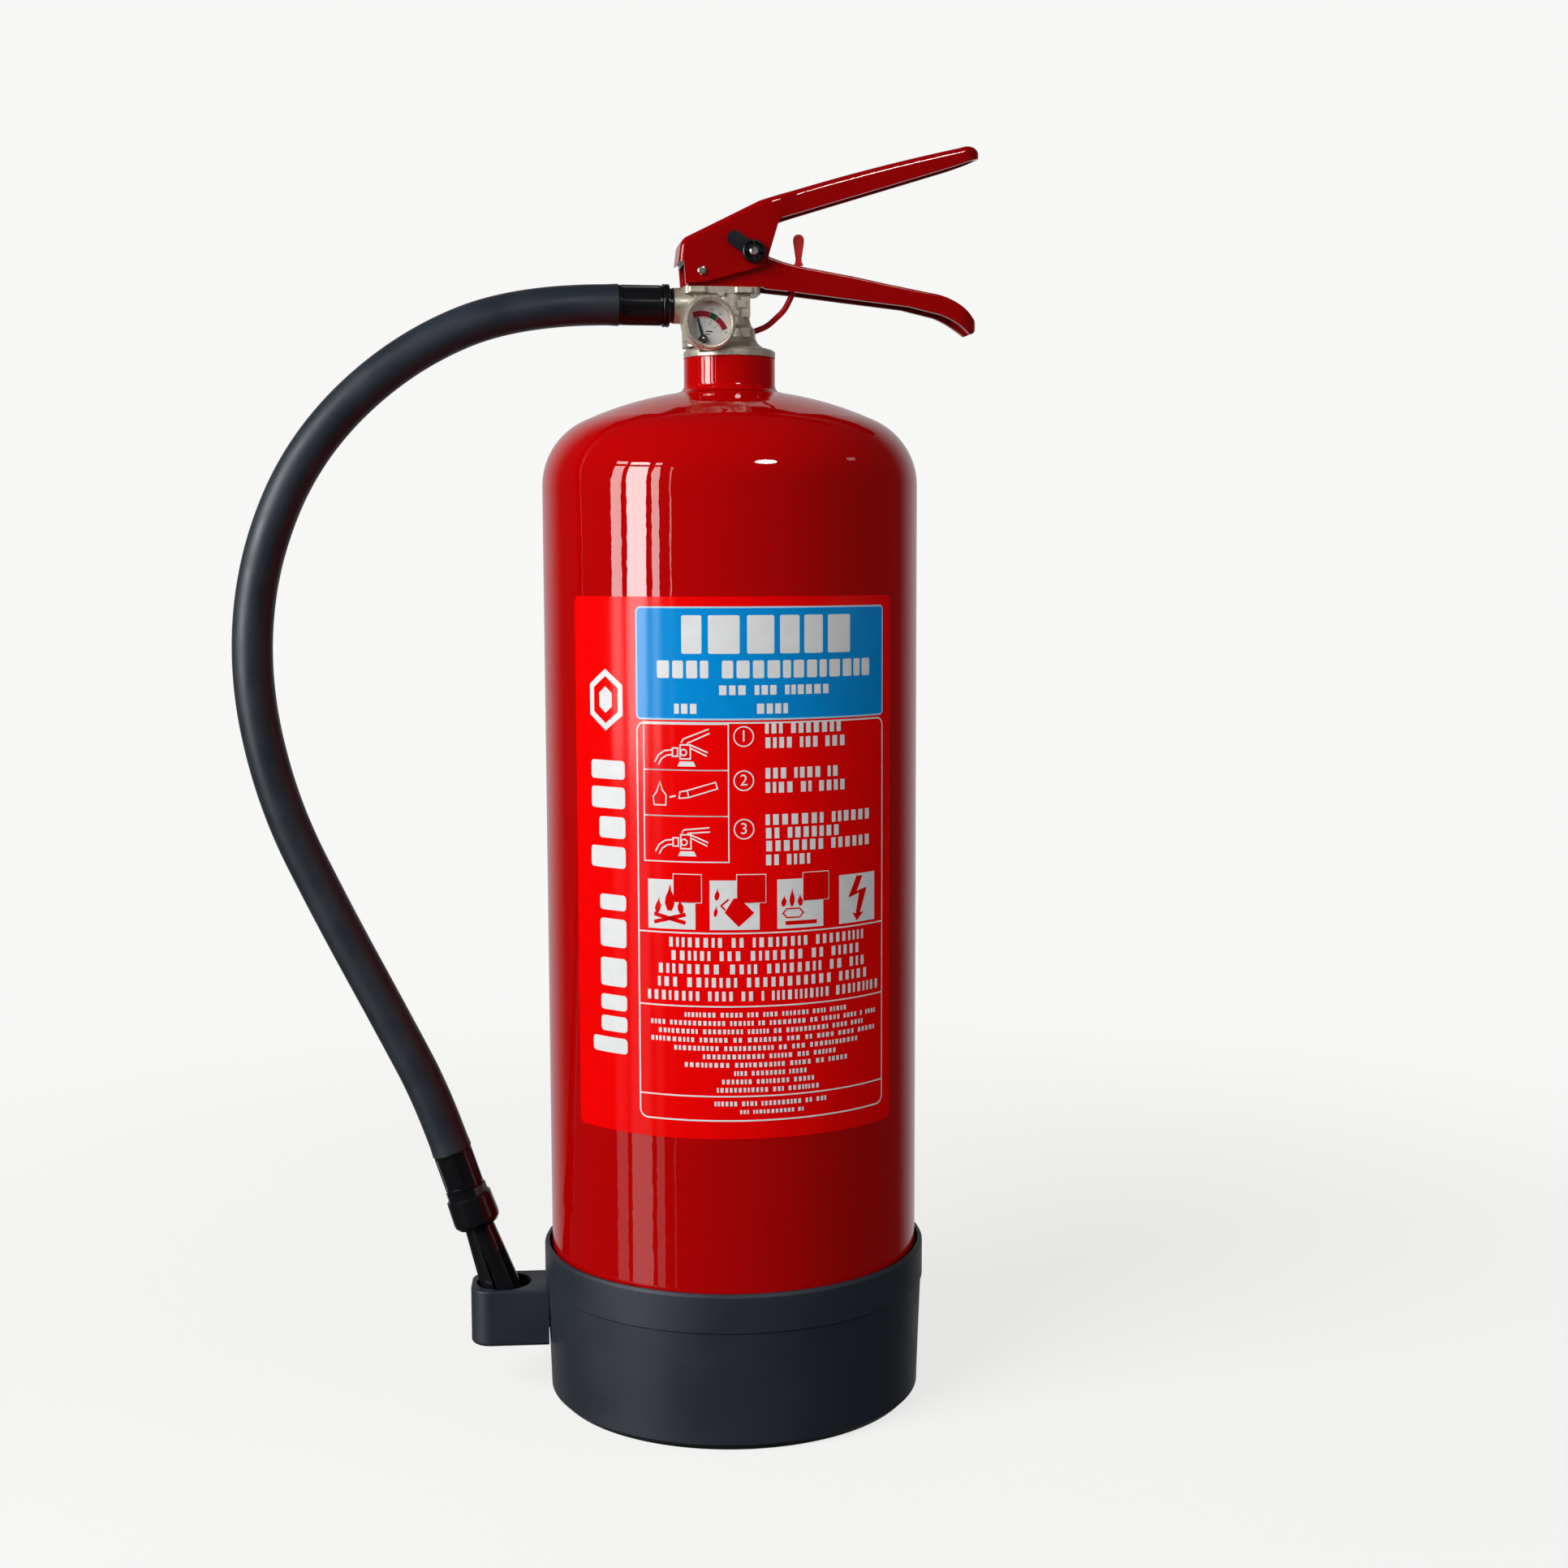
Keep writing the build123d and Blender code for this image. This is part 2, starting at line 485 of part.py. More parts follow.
def make_carry_handle():
    low_left, table = (-18.4, TABLE_Z + 0.05), TABLE_Z + 0.05
    outline = Curve() + [
        Polyline(low_left, (-18.4, 487.5), (-15.5, 490.2), (-6.5, 490.8), (2.0, 497.4), (5.0, 498.2),
                 (11.5, 498.2), (14.0, 496.6), *carry_top(0)),
        ThreePointArc((86.0, 477.4), (98.0, 473.4), (105.6, 467.2)),
        ThreePointArc((105.6, 467.2), (107.0, 463.0), (103.6, 460.3)),
        ThreePointArc((103.6, 460.3), (98.6, 464.2), (90.5, 468.2)),
        Polyline((90.5, 468.2), (76.3, 471.4), (51.6, 474.0), (27.1, 476.7), (14.4, 477.8), (13.2, table), low_left)]
    hollow = Curve() + [
        Polyline((-30, 470), (-30, 520), (13.0, 520), (14.2, 489.6), *carry_top(CHEEK)),
        ThreePointArc((86.0, 475.4), (97.2, 471.6), (104.0, 466.2)),
        Polyline((104.0, 466.2), (104.6, 463.4), (102.4, 455), (-30, 455), (-30, 470))]
    half = CARRY_HALF_Y
    plan = Curve() + [Polyline((-30, half), (-30, -half), (99, -half)),
                      ThreePointArc((99, -half), (105.0, -half * 0.66), (107.4, 0)),
                      ThreePointArc((107.4, 0), (105.0, half * 0.66), (99, half)), Line((99, half), (-30, half))]
    inner_half = half - CHEEK
    outer = side_plate(outline, 40) & (Pos(0, 0, 440) * extrude(make_face(plan), amount=80))
    inner = side_plate(hollow, inner_half)
    inner &= Pos(0, 0, 440) * extrude(make_face(Polyline((-31, -inner_half), (98.5, -inner_half),
                                                         (104.6, -inner_half * 0.55), (104.6, inner_half * 0.55),
                                                         (98.5, inner_half), (-31, inner_half), close=True)), amount=90)
    web_edges = [e for e in outer.edges() if e.length > 5 and abs(e.center().Y) > 3 and 15 < e.center().X < 108
                 and e.center().Z > carry_mid(e.center().X)]
    outer = round_edges(outer, web_edges, 2.4)
    handle = outer - inner
    handle -= bar_y(PIVOT_R + 0.02, -20, 20, PIVOT_X, PIVOT_Z)
    handle -= bar_y(RIVET_R + 0.02, -20, 20, RIVET_X, RIVET_Z)
    handle -= pin_slot()
    handle -= Pos(29.8, 0, 480) * extrude(SlotOverall(7.0, 4.2), amount=12)
    return one(handle)


def carry_mid(x):
    """Height half way up the carrying handle at x."""
    return 483.5 - (x - 15) * 0.13 if x < 90 else 474 - (x - 90) * 0.55


def pin_slot():
    """Curved slot in both cheeks, along the path the safety pin's hole takes as the lever turns."""
    reach = math.hypot(PIN_X - PIVOT_X, PIN_Z - PIVOT_Z)
    start = math.degrees(math.atan2(PIN_Z - PIVOT_Z, PIN_X - PIVOT_X))
    path = CenterArc((PIVOT_X, PIVOT_Z), reach, start + 0.4, -(SQUEEZE_DEG + 0.8))
    slot = Part()
    steps = 8
    for k in range(steps + 1):
        p = path @ (k / steps)
        slot += bar_y(PIN_R + 0.3, -20, 20, p.X, p.Y)
    return slot


def make_pivot_pin():
    half = LEVER_HALF_Y + 0.9
    pin = bar_y(PIVOT_R, -half, half, PIVOT_X, PIVOT_Z)
    return one(fillet(pin.edges().filter_by(GeomType.CIRCLE), 0.8))


def make_handle_rivet():
    half = CARRY_HALF_Y - 0.1
    return one(bar_y(RIVET_R, -half, half, RIVET_X, RIVET_Z))


def make_pin_keeper():
    """Moulded keyhole clip on the lever's near cheek: a flat tab and a round ribbed knob with the pin's hole."""
    face, tab_depth, knob_depth = -LEVER_HALF_Y - 0.05, 1.3, 3.4
    knob = bar_y(4.8, face - knob_depth, face, PIN_X, PIN_Z)
    knob = fillet(knob.edges().filter_by(GeomType.CIRCLE).group_by(Axis.Y)[0], 0.8)
    knob -= bar_y(4.1, face - knob_depth - 1, face - 1.6, PIN_X, PIN_Z)
    tab = bar_y(3.15, face - tab_depth, face, 0.9, 498.0)
    middle_x, middle_z = (PIN_X + 0.9) / 2, (PIN_Z + 498.0) / 2
    lean = math.degrees(math.atan2(PIN_Z - 498.0, PIN_X - 0.9))
    link = Pos(middle_x, face - tab_depth / 2, middle_z) * Rot(0, -lean, 0) * Box(9.6, tab_depth, 6.3)
    ribs = Part()
    for k in range(4):
        spoke = block((2.3, face - knob_depth + 0.2, -0.45), (4.3, face - 1.5, 0.45))
        ribs += Pos(PIN_X, 0, PIN_Z) * Rot(0, 90 * k, 0) * spoke
    sleeve = bar_y(2.5, face - 3.0, face - 1.0, PIN_X, PIN_Z)
    clip = knob + tab + link + ribs + sleeve
    return one(clip - bar_y(PIN_R + RUNNING, -30, 0, PIN_X, PIN_Z))


def make_safety_pin():
    pin = bar_y(PIN_R, -LEVER_HALF_Y - 4.2, LEVER_HALF_Y + 4.0, PIN_X, PIN_Z)
    tip = pin.edges().filter_by(GeomType.CIRCLE).group_by(Axis.Y)[0]
    return one(chamfer(tip, 0.5))


def make_pull_ring():
    ring_r, wire_r = 11.2, 1.7
    face = LEVER_HALF_Y + 0.15
    hub = bar_y(3.4, face, face + 5.5, PIN_X, PIN_Z)
    hub = fillet(hub.edges().filter_by(GeomType.CIRCLE).group_by(Axis.Y)[-1], 0.8)
    ring = Pos(PIN_X, face + 4.2 + ring_r, PIN_Z) * Rot(0, 90, 0) * Torus(ring_r, wire_r)
    return one(hub + ring - bar_y(PIN_R + 0.01, 0, LEVER_HALF_Y + 4.05, PIN_X, PIN_Z))


def make_tamper_seal():
    """Breakable plastic strap with a paddle, threaded down through the carrying handle to the valve's lug."""
    route = FilletPolyline((29.9, 0, 491.0), (29.0, 0.4, 480.0), (24.4, 3.4, 470.2), (17.6, 7.8, 463.8),
                           (9.5, 11.2, 460.8), (-1.0, 12.6, 465.0), (-1.0, 12.6, 458.0), radius=[14, 14, 14, 8, 2.6])
    strap = sweep(Plane(route @ 0, z_dir=route % 0) * Circle(1.25), path=route)
    paddle = lathe([(0, 0), (1.9, 0), (1.9, 0.6), (1.35, 1.8), (1.3, 3.0), (1.7, 5.5), (2.2, 8.8), (2.4, 10.4),
                    (2.3, 11.4), (1.9, 12.3), (1.2, 12.9), (0, 13.2)])
    flat = block((-4, -1.1, -1), (4, 1.1, 14))
    return one(strap + Pos(30.0, 0, 488.6) * (paddle & flat))


# ---- hose and nozzle ----------------------------------------------------------------------
def make_outlet_washer():
    washer = bar_x(OUTLET_R - 0.2, OUTLET_END_X - 0.7, OUTLET_END_X - 0.02, OUTLET_Z)
    return one(washer - bar_x(4.4, -40, 0, OUTLET_Z))


def make_hose_nut():
    neck_start, band_start, band_end = OUTLET_END_X - 0.75, -25.8, -28.7
    nut = bar_x(7.2, neck_start, band_start - 0.2, OUTLET_Z)
    band = bar_x(NUT_R, band_start, band_end, OUTLET_Z)
    band = fillet(band.edges().filter_by(GeomType.CIRCLE), 0.5)
    pockets = Part()
    for k in range(8):
        pocket = block((band_end + 0.8, -2.6, NUT_R - 0.55), (band_start - 0.8, 2.6, NUT_R + 1))
        pockets += Pos(0, 0, OUTLET_Z) * Rot(45 * k, 0, 0) * pocket
    return one(nut + band - pockets - bar_x(4.3, -40, 0, OUTLET_Z))


def make_hose_nipple():
    """Brass tail screwed in the outlet and barbed into the ferrule."""
    tail = bar_x(4.2, -46.8, OUTLET_END_X + 6, OUTLET_Z) - bar_x(3.0, -60, 0, OUTLET_Z)
    return one(tail)


def ribbed_sleeve(radius, length, bore):
    """Ferrule along local Z, from 0 to length, with flats and raised ribs along it."""
    sleeve = drum(radius, 0, length)
    sleeve = chamfer(sleeve.edges().filter_by(GeomType.CIRCLE), 0.35)
    for k in range(8):
        groove = block((radius - 0.45, -2.0, 1.6), (radius + 1, 2.0, length - 1.2))
        sleeve -= Rot(0, 0, 22.5 + 45 * k) * groove
    return sleeve - drum(bore, -1, length + 1)


def make_upper_ferrule():
    length = -28.75 - HOSE_START_X
    sleeve = ribbed_sleeve(FERRULE_R, length, 4.3)
    return one(Pos(HOSE_START_X, 0, OUTLET_Z) * Rot(0, 90, 0) * sleeve)


def nozzle_frame():
    """Moves a shape drawn along local +Z to the nozzle's axis, with 0 at the holder's top face."""
    return Rot(0, 0, HOLDER_AZ) * Pos(NOZZLE_REACH, 0, HOLDER_TOP_Z) * Rot(0, NOZZLE_TILT, 0)


def make_lower_ferrule():
    sleeve = Pos(0, 0, CAP_HIGH) * ribbed_sleeve(FERRULE_R, FERRULE_HIGH - CAP_HIGH, 4.3)
    return one(nozzle_frame() * sleeve)


def make_nozzle_cap_ring():
    ring = extrude(RegularPolygon(CAP_R, 12), amount=CAP_HIGH - COLLAR_HIGH)
    ring = Pos(0, 0, COLLAR_HIGH) * (ring - drum(4.3, -1, 20))
    return one(nozzle_frame() * ring)


def make_nozzle_collar():
    length = COLLAR_HIGH - COLLAR_LOW
    body = lathe([(5.0, 0), (COLLAR_R - 1.4, 0), (COLLAR_R - 0.2, 1.6), (COLLAR_R, 3.2), (COLLAR_R - 0.3, length - 0.8),
                  (COLLAR_R - 1.1, length), (5.0, length)])
    body -= block((COLLAR_R - 1.2, -0.7, -1), (COLLAR_R + 2, 0.7, 2.4))
    return one(nozzle_frame() * Pos(0, 0, COLLAR_LOW) * Rot(0, 0, 250) * body)


def make_nozzle():
    tip = -(HOLDER_TOP_Z - NOZZLE_TIP_Z) / math.cos(math.radians(NOZZLE_TILT))
    top = COLLAR_HIGH - 0.05
    flare = lathe([(NOZZLE_BORE_R, top), (4.95, top), (4.95, COLLAR_LOW - 0.05), (NOZZLE_TOP_R, COLLAR_LOW - 0.05),
                   (NOZZLE_TIP_R, tip + 0.8), (NOZZLE_TIP_R - 0.6, tip), (NOZZLE_TIP_R - 1.9, tip),
                   (NOZZLE_BORE_R, 12.0)])
    for k in range(6):
        groove = block((NOZZLE_TOP_R - 0.7, -0.5, -5), (NOZZLE_TOP_R + 5, 0.5, COLLAR_LOW - 3))
        flare -= Rot(0, 0, 20 + 60 * k) * Rot(0, 4.0, 0) * groove
    return one(nozzle_frame() * flare)


def hose_route():
    """Corner points of the hose's centre line, from the upper ferrule round to the lower one."""
    axis_top = nozzle_frame() * Pos(0, 0, FERRULE_HIGH)
    axis_in = nozzle_frame() * Pos(0, 0, FERRULE_HIGH + 24.5)
    route = [(HOSE_START_X, 0.0, OUTLET_Z), (-88, 0.0, OUTLET_Z), (-137, 2.5, 450.5), (-177, 6.0, 413),
             (-198.5, 9.5, 366), (-204, 12.5, 315), (-193.5, 14.5, 261), (-171.5, 14.6, 213), (-145, 12.6, 160.5)]
    return [Vector(*p) for p in route] + [axis_in.position, axis_top.position]


def arc_radius(a, b, c):
    """Largest easy bend at corner b: 0.45 of the shorter run over the tangent of half the turn."""
    turn = math.radians((b - a).get_angle(c - b))
    return 0.45 * min((b - a).length, (c - b).length) / math.tan(turn / 2)


def make_hose():
    points = hose_route()
    radii = [arc_radius(a, b, c) for a, b, c in zip(points, points[1:], points[2:])]
    path = FilletPolyline(*points, radius=radii)
    tube = sweep(Plane(path @ 0, z_dir=path % 0) * Circle(HOSE_R), path=path)
    print("hose bend radii:", [round(r) for r in radii])
    print("hose route:", [(round(p.X, 1), round(p.Y, 1), round(p.Z, 1)) for p in points])
    expected = math.pi * HOSE_R ** 2 * path.length
    print(f"hose length {path.length:.1f} mm, volume {tube.volume:.0f} of {expected:.0f} mm3")
    return one(tube)


# ---- assembly -----------------------------------------------------------------------------
PARTS = {
    "cylinder_shell": make_cylinder_shell,
    "bottom_dome": make_bottom_dome,
    "neck_ring": make_neck_ring,
    "neck_seal": make_neck_seal,
    "powder_charge": make_powder_charge,
    "dip_tube": make_dip_tube,
    "base_boot": make_base_boot,
    "nozzle_holder": make_nozzle_holder,
    "label": make_label,
    "valve_body": make_valve_body,
    "stem_gland": make_stem_gland,
    "valve_stem": make_valve_stem,
    "stem_seal": make_stem_seal,
    "stem_spring": make_stem_spring,
    "gauge_case": make_gauge_case,
    "gauge_bezel": make_gauge_bezel,
    "gauge_lens": make_gauge_lens,
    "gauge_dial": make_gauge_dial,
    "gauge_movement": make_gauge_movement,
    "gauge_needle": make_gauge_needle,
    "gauge_seal": make_gauge_seal,
    "squeeze_lever": make_squeeze_lever,
    "carry_handle": make_carry_handle,
    "pivot_pin": make_pivot_pin,
    "handle_rivet": make_handle_rivet,
    "pin_keeper": make_pin_keeper,
    "safety_pin": make_safety_pin,
    "pull_ring": make_pull_ring,
    "tamper_seal": make_tamper_seal,
    "outlet_washer": make_outlet_washer,
    "hose_nut": make_hose_nut,
    "hose_nipple": make_hose_nipple,
    "upper_ferrule": make_upper_ferrule,
    "hose": make_hose,
    "lower_ferrule": make_lower_ferrule,
    "nozzle_cap_ring": make_nozzle_cap_ring,
    "nozzle_collar": make_nozzle_collar,
    "nozzle": make_nozzle,
}

os.makedirs("parts", exist_ok=True)
for name, make in PARTS.items():
    export_step(make(), f"parts/{name}.step")
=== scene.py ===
import json
import math
import random

import bmesh
import bpy
from mathutils import Matrix, Vector


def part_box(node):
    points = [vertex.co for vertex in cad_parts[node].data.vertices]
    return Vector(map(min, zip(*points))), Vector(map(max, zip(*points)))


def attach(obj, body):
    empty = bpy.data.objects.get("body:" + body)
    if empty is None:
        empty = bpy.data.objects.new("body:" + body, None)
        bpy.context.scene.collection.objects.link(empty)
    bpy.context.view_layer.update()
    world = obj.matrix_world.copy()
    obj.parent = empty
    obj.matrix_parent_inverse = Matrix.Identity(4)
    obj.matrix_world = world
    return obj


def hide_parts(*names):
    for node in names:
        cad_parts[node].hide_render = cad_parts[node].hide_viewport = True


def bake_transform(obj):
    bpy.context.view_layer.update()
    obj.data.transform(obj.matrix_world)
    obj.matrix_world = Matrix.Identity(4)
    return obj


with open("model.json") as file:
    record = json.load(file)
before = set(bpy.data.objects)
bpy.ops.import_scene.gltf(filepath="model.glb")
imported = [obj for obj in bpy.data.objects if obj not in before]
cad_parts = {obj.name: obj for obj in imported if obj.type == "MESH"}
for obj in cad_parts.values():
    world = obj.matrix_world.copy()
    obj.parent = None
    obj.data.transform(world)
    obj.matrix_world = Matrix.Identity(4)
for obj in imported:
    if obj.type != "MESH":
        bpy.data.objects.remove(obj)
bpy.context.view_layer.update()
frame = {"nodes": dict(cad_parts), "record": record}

# Looks of a six kilogram powder fire extinguisher, round its CAD frame.
# Metres, +Z up, the front with gauge and label towards -Y, the handles towards +X.
MM = 0.001
NODES = frame["nodes"]

# ---- sizes that scene.py shares with the CAD frame -----------------------------------------
SHELL_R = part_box("cylinder_shell")[1].x
LABEL_R = SHELL_R + 0.23 * MM            # outer face of the label film
HOSE_R = 8.6 * MM
GAUGE_TURN = math.radians(8.0)           # the gauge's face is turned from the front towards +X
GAUGE_OUT = Vector((math.sin(GAUGE_TURN), -math.cos(GAUGE_TURN), 0))
GAUGE_SIDE = Vector((math.cos(GAUGE_TURN), math.sin(GAUGE_TURN), 0))
GAUGE_EDGE = Vector((-10.9, -22.6, 462.0)) * MM       # centre of the bezel's front edge
DIAL_FACE = GAUGE_EDGE - GAUGE_OUT * 4.0 * MM
NEEDLE_PIVOT = (-2.3, -6.7)              # on the dial, from its centre, in millimetres


# ---- camera -------------------------------------------------------------------------------
CAMERA_PLACE = (-0.1304, -0.9280, 0.3626)
CAMERA_LENS, CAMERA_SENSOR = 49.76, 36.0
CAMERA_HEADING = math.radians(9.392)     # turned from straight back towards +X
CAMERA_DOWN = math.radians(5.821)
CAMERA_ROLL = -0.0027


def make_camera():
    """Stands nearly in front, a little to the left, and looks slightly down."""
    heading, down, roll = CAMERA_HEADING, CAMERA_DOWN, CAMERA_ROLL
    forward = Vector((math.sin(heading) * math.cos(down), math.cos(heading) * math.cos(down),
                      -math.sin(down)))
    level = Vector((math.cos(heading), -math.sin(heading), 0))
    above = level.cross(forward)
    right = level * math.cos(roll) + above * math.sin(roll)
    up = above * math.cos(roll) - level * math.sin(roll)
    camera = bpy.data.objects.new("camera", bpy.data.cameras.new("camera"))
    camera.data.lens, camera.data.sensor_width = CAMERA_LENS, CAMERA_SENSOR
    turned = Matrix((right, up, -forward)).transposed().to_4x4()
    camera.matrix_world = Matrix.Translation(CAMERA_PLACE) @ turned
    bpy.context.scene.collection.objects.link(camera)
    bpy.context.scene.camera = camera


# ---- mesh helpers -------------------------------------------------------------------------
def add_mesh(name, verts, faces, material):
    mesh = bpy.data.meshes.new(name)
    mesh.from_pydata([tuple(v) for v in verts], [], faces)
    return add_object(name, mesh, material)


def add_object(name, mesh, material, smooth_angle=35.0):
    """Links the mesh as an object, shaded smooth except at edges sharper than smooth_angle degrees."""
    mesh.materials.clear()
    mesh.materials.append(material)
    mesh.shade_smooth()
    mesh.set_sharp_from_angle(angle=math.radians(smooth_angle))
    obj = bpy.data.objects.new(name, mesh)
    bpy.context.scene.collection.objects.link(obj)
    return obj


def lathe_mesh(name, outline, centre, axis, side, material, segments):
    """Turned piece: outline is (radius, height) in millimetres, height along axis from centre."""
    third = axis.cross(side)
    verts, faces, rings = [], [], []
    for radius, height in outline:
        base = centre + axis * height * MM
        if radius == 0:
            rings.append([len(verts)])
            verts.append(base)
            continue
        rings.append(list(range(len(verts), len(verts) + segments)))
        for k in range(segments):
            turn = math.tau * k / segments
            verts.append(base + (side * math.cos(turn) + third * math.sin(turn)) * radius * MM)
    for low, high in zip(rings, rings[1:]):
        for k in range(segments):
            n = (k + 1) % segments
            loop = [low[k % len(low)], low[n % len(low)], high[n % len(high)], high[k % len(high)]]
            loop = list(dict.fromkeys(loop))
            if len(loop) > 2:
                faces.append(loop)
    return add_mesh(name, verts, faces, material)


# ---- hose ---------------------------------------------------------------------------------
HOSE_STEPS = 16                          # points of the smooth line for each stretch of the route
HOSE_SEGMENTS = 64
HOSE_EASE = 0.1 * MM                     # how far the free hose stays inside the fittings' bore
HOSE_SWELL, HOSE_SWELL_LENGTH = 0.25 * MM, 4 * MM
HOSE_ROUTE = [
    (-0.0474, 0.0, 0.471), (-0.088, 0.0, 0.471), (-0.137, 0.0025, 0.4505), (-0.177, 0.006, 0.413),
    (-0.1985, 0.0095, 0.366), (-0.204, 0.0125, 0.315), (-0.1935, 0.0145, 0.261), (-0.1715, 0.0146, 0.213),
    (-0.145, 0.0126, 0.1605), (-0.1305, 0.0114, 0.1307), (-0.1228, 0.0107, 0.1074),
]


def smooth_line(points, resolution):
    """Points along the NURBS spline that has these control points."""
    curve = bpy.data.curves.new("line", "CURVE")
    curve.dimensions = "3D"
    spline = curve.splines.new("NURBS")
    spline.points.add(len(points) - 1)
    for point, place in zip(spline.points, points):
        point.co = (*place, 1.0)
    spline.order_u = 3
    spline.use_endpoint_u = True
    spline.resolution_u = resolution
    obj = bpy.data.objects.new("line", curve)
    bpy.context.scene.collection.objects.link(obj)
    bpy.context.view_layer.update()
    mesh = bpy.data.meshes.new_from_object(obj.evaluated_get(bpy.context.evaluated_depsgraph_get()))
    line = [v.co.copy() for v in mesh.vertices]
    bpy.data.objects.remove(obj)
    return line


def make_hose(material):
    """Rubber hose: a closed tube along the route, its ends a little swollen where they are pressed in."""
    line = smooth_line(HOSE_ROUTE, HOSE_STEPS)
    segments = HOSE_SEGMENTS
    along = [0.0]
    for a, b in zip(line, line[1:]):
        along.append(along[-1] + (b - a).length)
    verts, faces = [], []
    side = Vector((0, 1, 0))
    for k, place in enumerate(line):
        ahead = (line[min(k + 1, len(line) - 1)] - line[max(k - 1, 0)]).normalized()
        side = (side - ahead * side.dot(ahead)).normalized()
        third = ahead.cross(side)
        end = min(along[k], along[-1] - along[k])
        radius = HOSE_R - HOSE_EASE + HOSE_SWELL * max(0.0, 1 - end / HOSE_SWELL_LENGTH)
        for s in range(segments):
            turn = math.tau * s / segments
            verts.append(place + (side * math.cos(turn) + third * math.sin(turn)) * radius)
    for k in range(len(line) - 1):
        for s in range(segments):
            n = (s + 1) % segments
            faces.append((k * segments + s, k * segments + n, (k + 1) * segments + n, (k + 1) * segments + s))
    faces.append(list(range(segments))[::-1])
    last = (len(line) - 1) * segments
    faces.append([last + s for s in range(segments)])
    hose = add_mesh("hose_tube", verts, faces, material)
    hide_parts("hose")
    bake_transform(hose)


# ---- materials ----------------------------------------------------------------------------
class Shader:
    """A Principled material and short ways to add the nodes that vary it over the surface.

    Constant sockets are keyword arguments of the constructor; noise scales are per metre.
    """

    def __init__(self, name, **sockets):
        self.mat = bpy.data.materials.new(name)
        self.mat.use_nodes = True
        self.nodes, self.links = self.mat.node_tree.nodes, self.mat.node_tree.links
        self.bsdf = self.nodes["Principled BSDF"]
        self.place = self.nodes.new("ShaderNodeTexCoord").outputs["Object"]
        for socket, value in sockets.items():
            self.bsdf.inputs[socket.replace("_", " ")].default_value = value

    def noise(self, scale, detail=3.0, roughness=0.5, stretch=None):
        node = self.nodes.new("ShaderNodeTexNoise")
        node.inputs["Scale"].default_value = scale
        node.inputs["Detail"].default_value = detail
        node.inputs["Roughness"].default_value = roughness
        self.links.new(self.stretched(stretch), node.inputs["Vector"])
        return node.outputs["Fac"]

    def cells(self, scale):
        node = self.nodes.new("ShaderNodeTexVoronoi")
        node.inputs["Scale"].default_value = scale
        self.links.new(self.place, node.inputs["Vector"])
        return node.outputs["Distance"]

    def stretched(self, stretch):
        if stretch is None:
            return self.place
        node = self.nodes.new("ShaderNodeMapping")
        node.inputs["Scale"].default_value = stretch
        self.links.new(self.place, node.inputs["Vector"])
        return node.outputs["Vector"]

    def remap(self, value, low, high, to_low, to_high):
        node = self.nodes.new("ShaderNodeMapRange")
        node.inputs["From Min"].default_value = low
        node.inputs["From Max"].default_value = high
        node.inputs["To Min"].default_value = to_low
        node.inputs["To Max"].default_value = to_high
        self.links.new(value, node.inputs["Value"])
        return node.outputs["Result"]

    def blend(self, factor, first, second):
        """Colour between two colours, or between a colour and another node's colour."""
        node = self.nodes.new("ShaderNodeMix")
        node.data_type = "RGBA"
        self.links.new(factor, node.inputs["Factor"])
        for socket, value in ((node.inputs[6], first), (node.inputs[7], second)):
            if isinstance(value, bpy.types.NodeSocket):
                self.links.new(value, socket)
            else:
                socket.default_value = (*value, 1)
        return node.outputs[2]

    def bump(self, height, distance, strength=1.0, over=None):
        node = self.nodes.new("ShaderNodeBump")
        node.inputs["Distance"].default_value = distance
        node.inputs["Strength"].default_value = strength
        self.links.new(height, node.inputs["Height"])
        if over is not None:
            self.links.new(over, node.inputs["Normal"])
        return node.outputs["Normal"]

    def set(self, socket, value):
        self.links.new(value, self.bsdf.inputs[socket])


def scaled(colour, k):
    return tuple(c * k for c in colour)


def enamel(name, colour, roughness, peel):
    """Gloss paint on steel: orange peel, faint cloudiness and slightly uneven gloss."""
    s = Shader(name, Coat_Weight=1.0, Coat_Roughness=0.02, Coat_IOR=1.5, Specular_IOR_Level=0.0)
    cloud = s.remap(s.noise(9, 2), 0.1, 0.9, 0, 1)
    s.set("Base Color", s.blend(cloud, colour, scaled(colour, 0.95)))
    s.set("Roughness", s.remap(s.noise(60, 5), 0.2, 0.8, roughness - 0.06, roughness + 0.08))
    skin = s.bump(s.noise(240, 1.0), peel)
    s.set("Normal", skin)
    s.links.new(skin, s.bsdf.inputs["Coat Normal"])
    return s.mat


def moulded(name, colour, roughness, grain, grain_depth, scuff=1.25):
    """Moulded plastic: fine spark-eroded grain, flow clouds, and light scuffs."""
    s = Shader(name, Specular_IOR_Level=0.5)
    cloud = s.remap(s.noise(14, 5, 0.6), 0.2, 0.8, 0, 1)
    scratch = s.remap(s.noise(90, 6, 0.7, stretch=(1, 1, 0.12)), 0.60, 0.72, 0, 1)
    body = s.blend(cloud, colour, scaled(colour, 1.2))
    s.set("Base Color", s.blend(scratch, body, scaled(colour, scuff)))
    s.set("Roughness", s.remap(s.noise(45, 4), 0.3, 0.7, roughness - 0.07, roughness + 0.07))
    fine = s.bump(s.noise(grain, 2), grain_depth)
    s.set("Normal", s.bump(s.noise(18, 2), 0.25 * MM, 0.25, over=fine))
    return s.mat


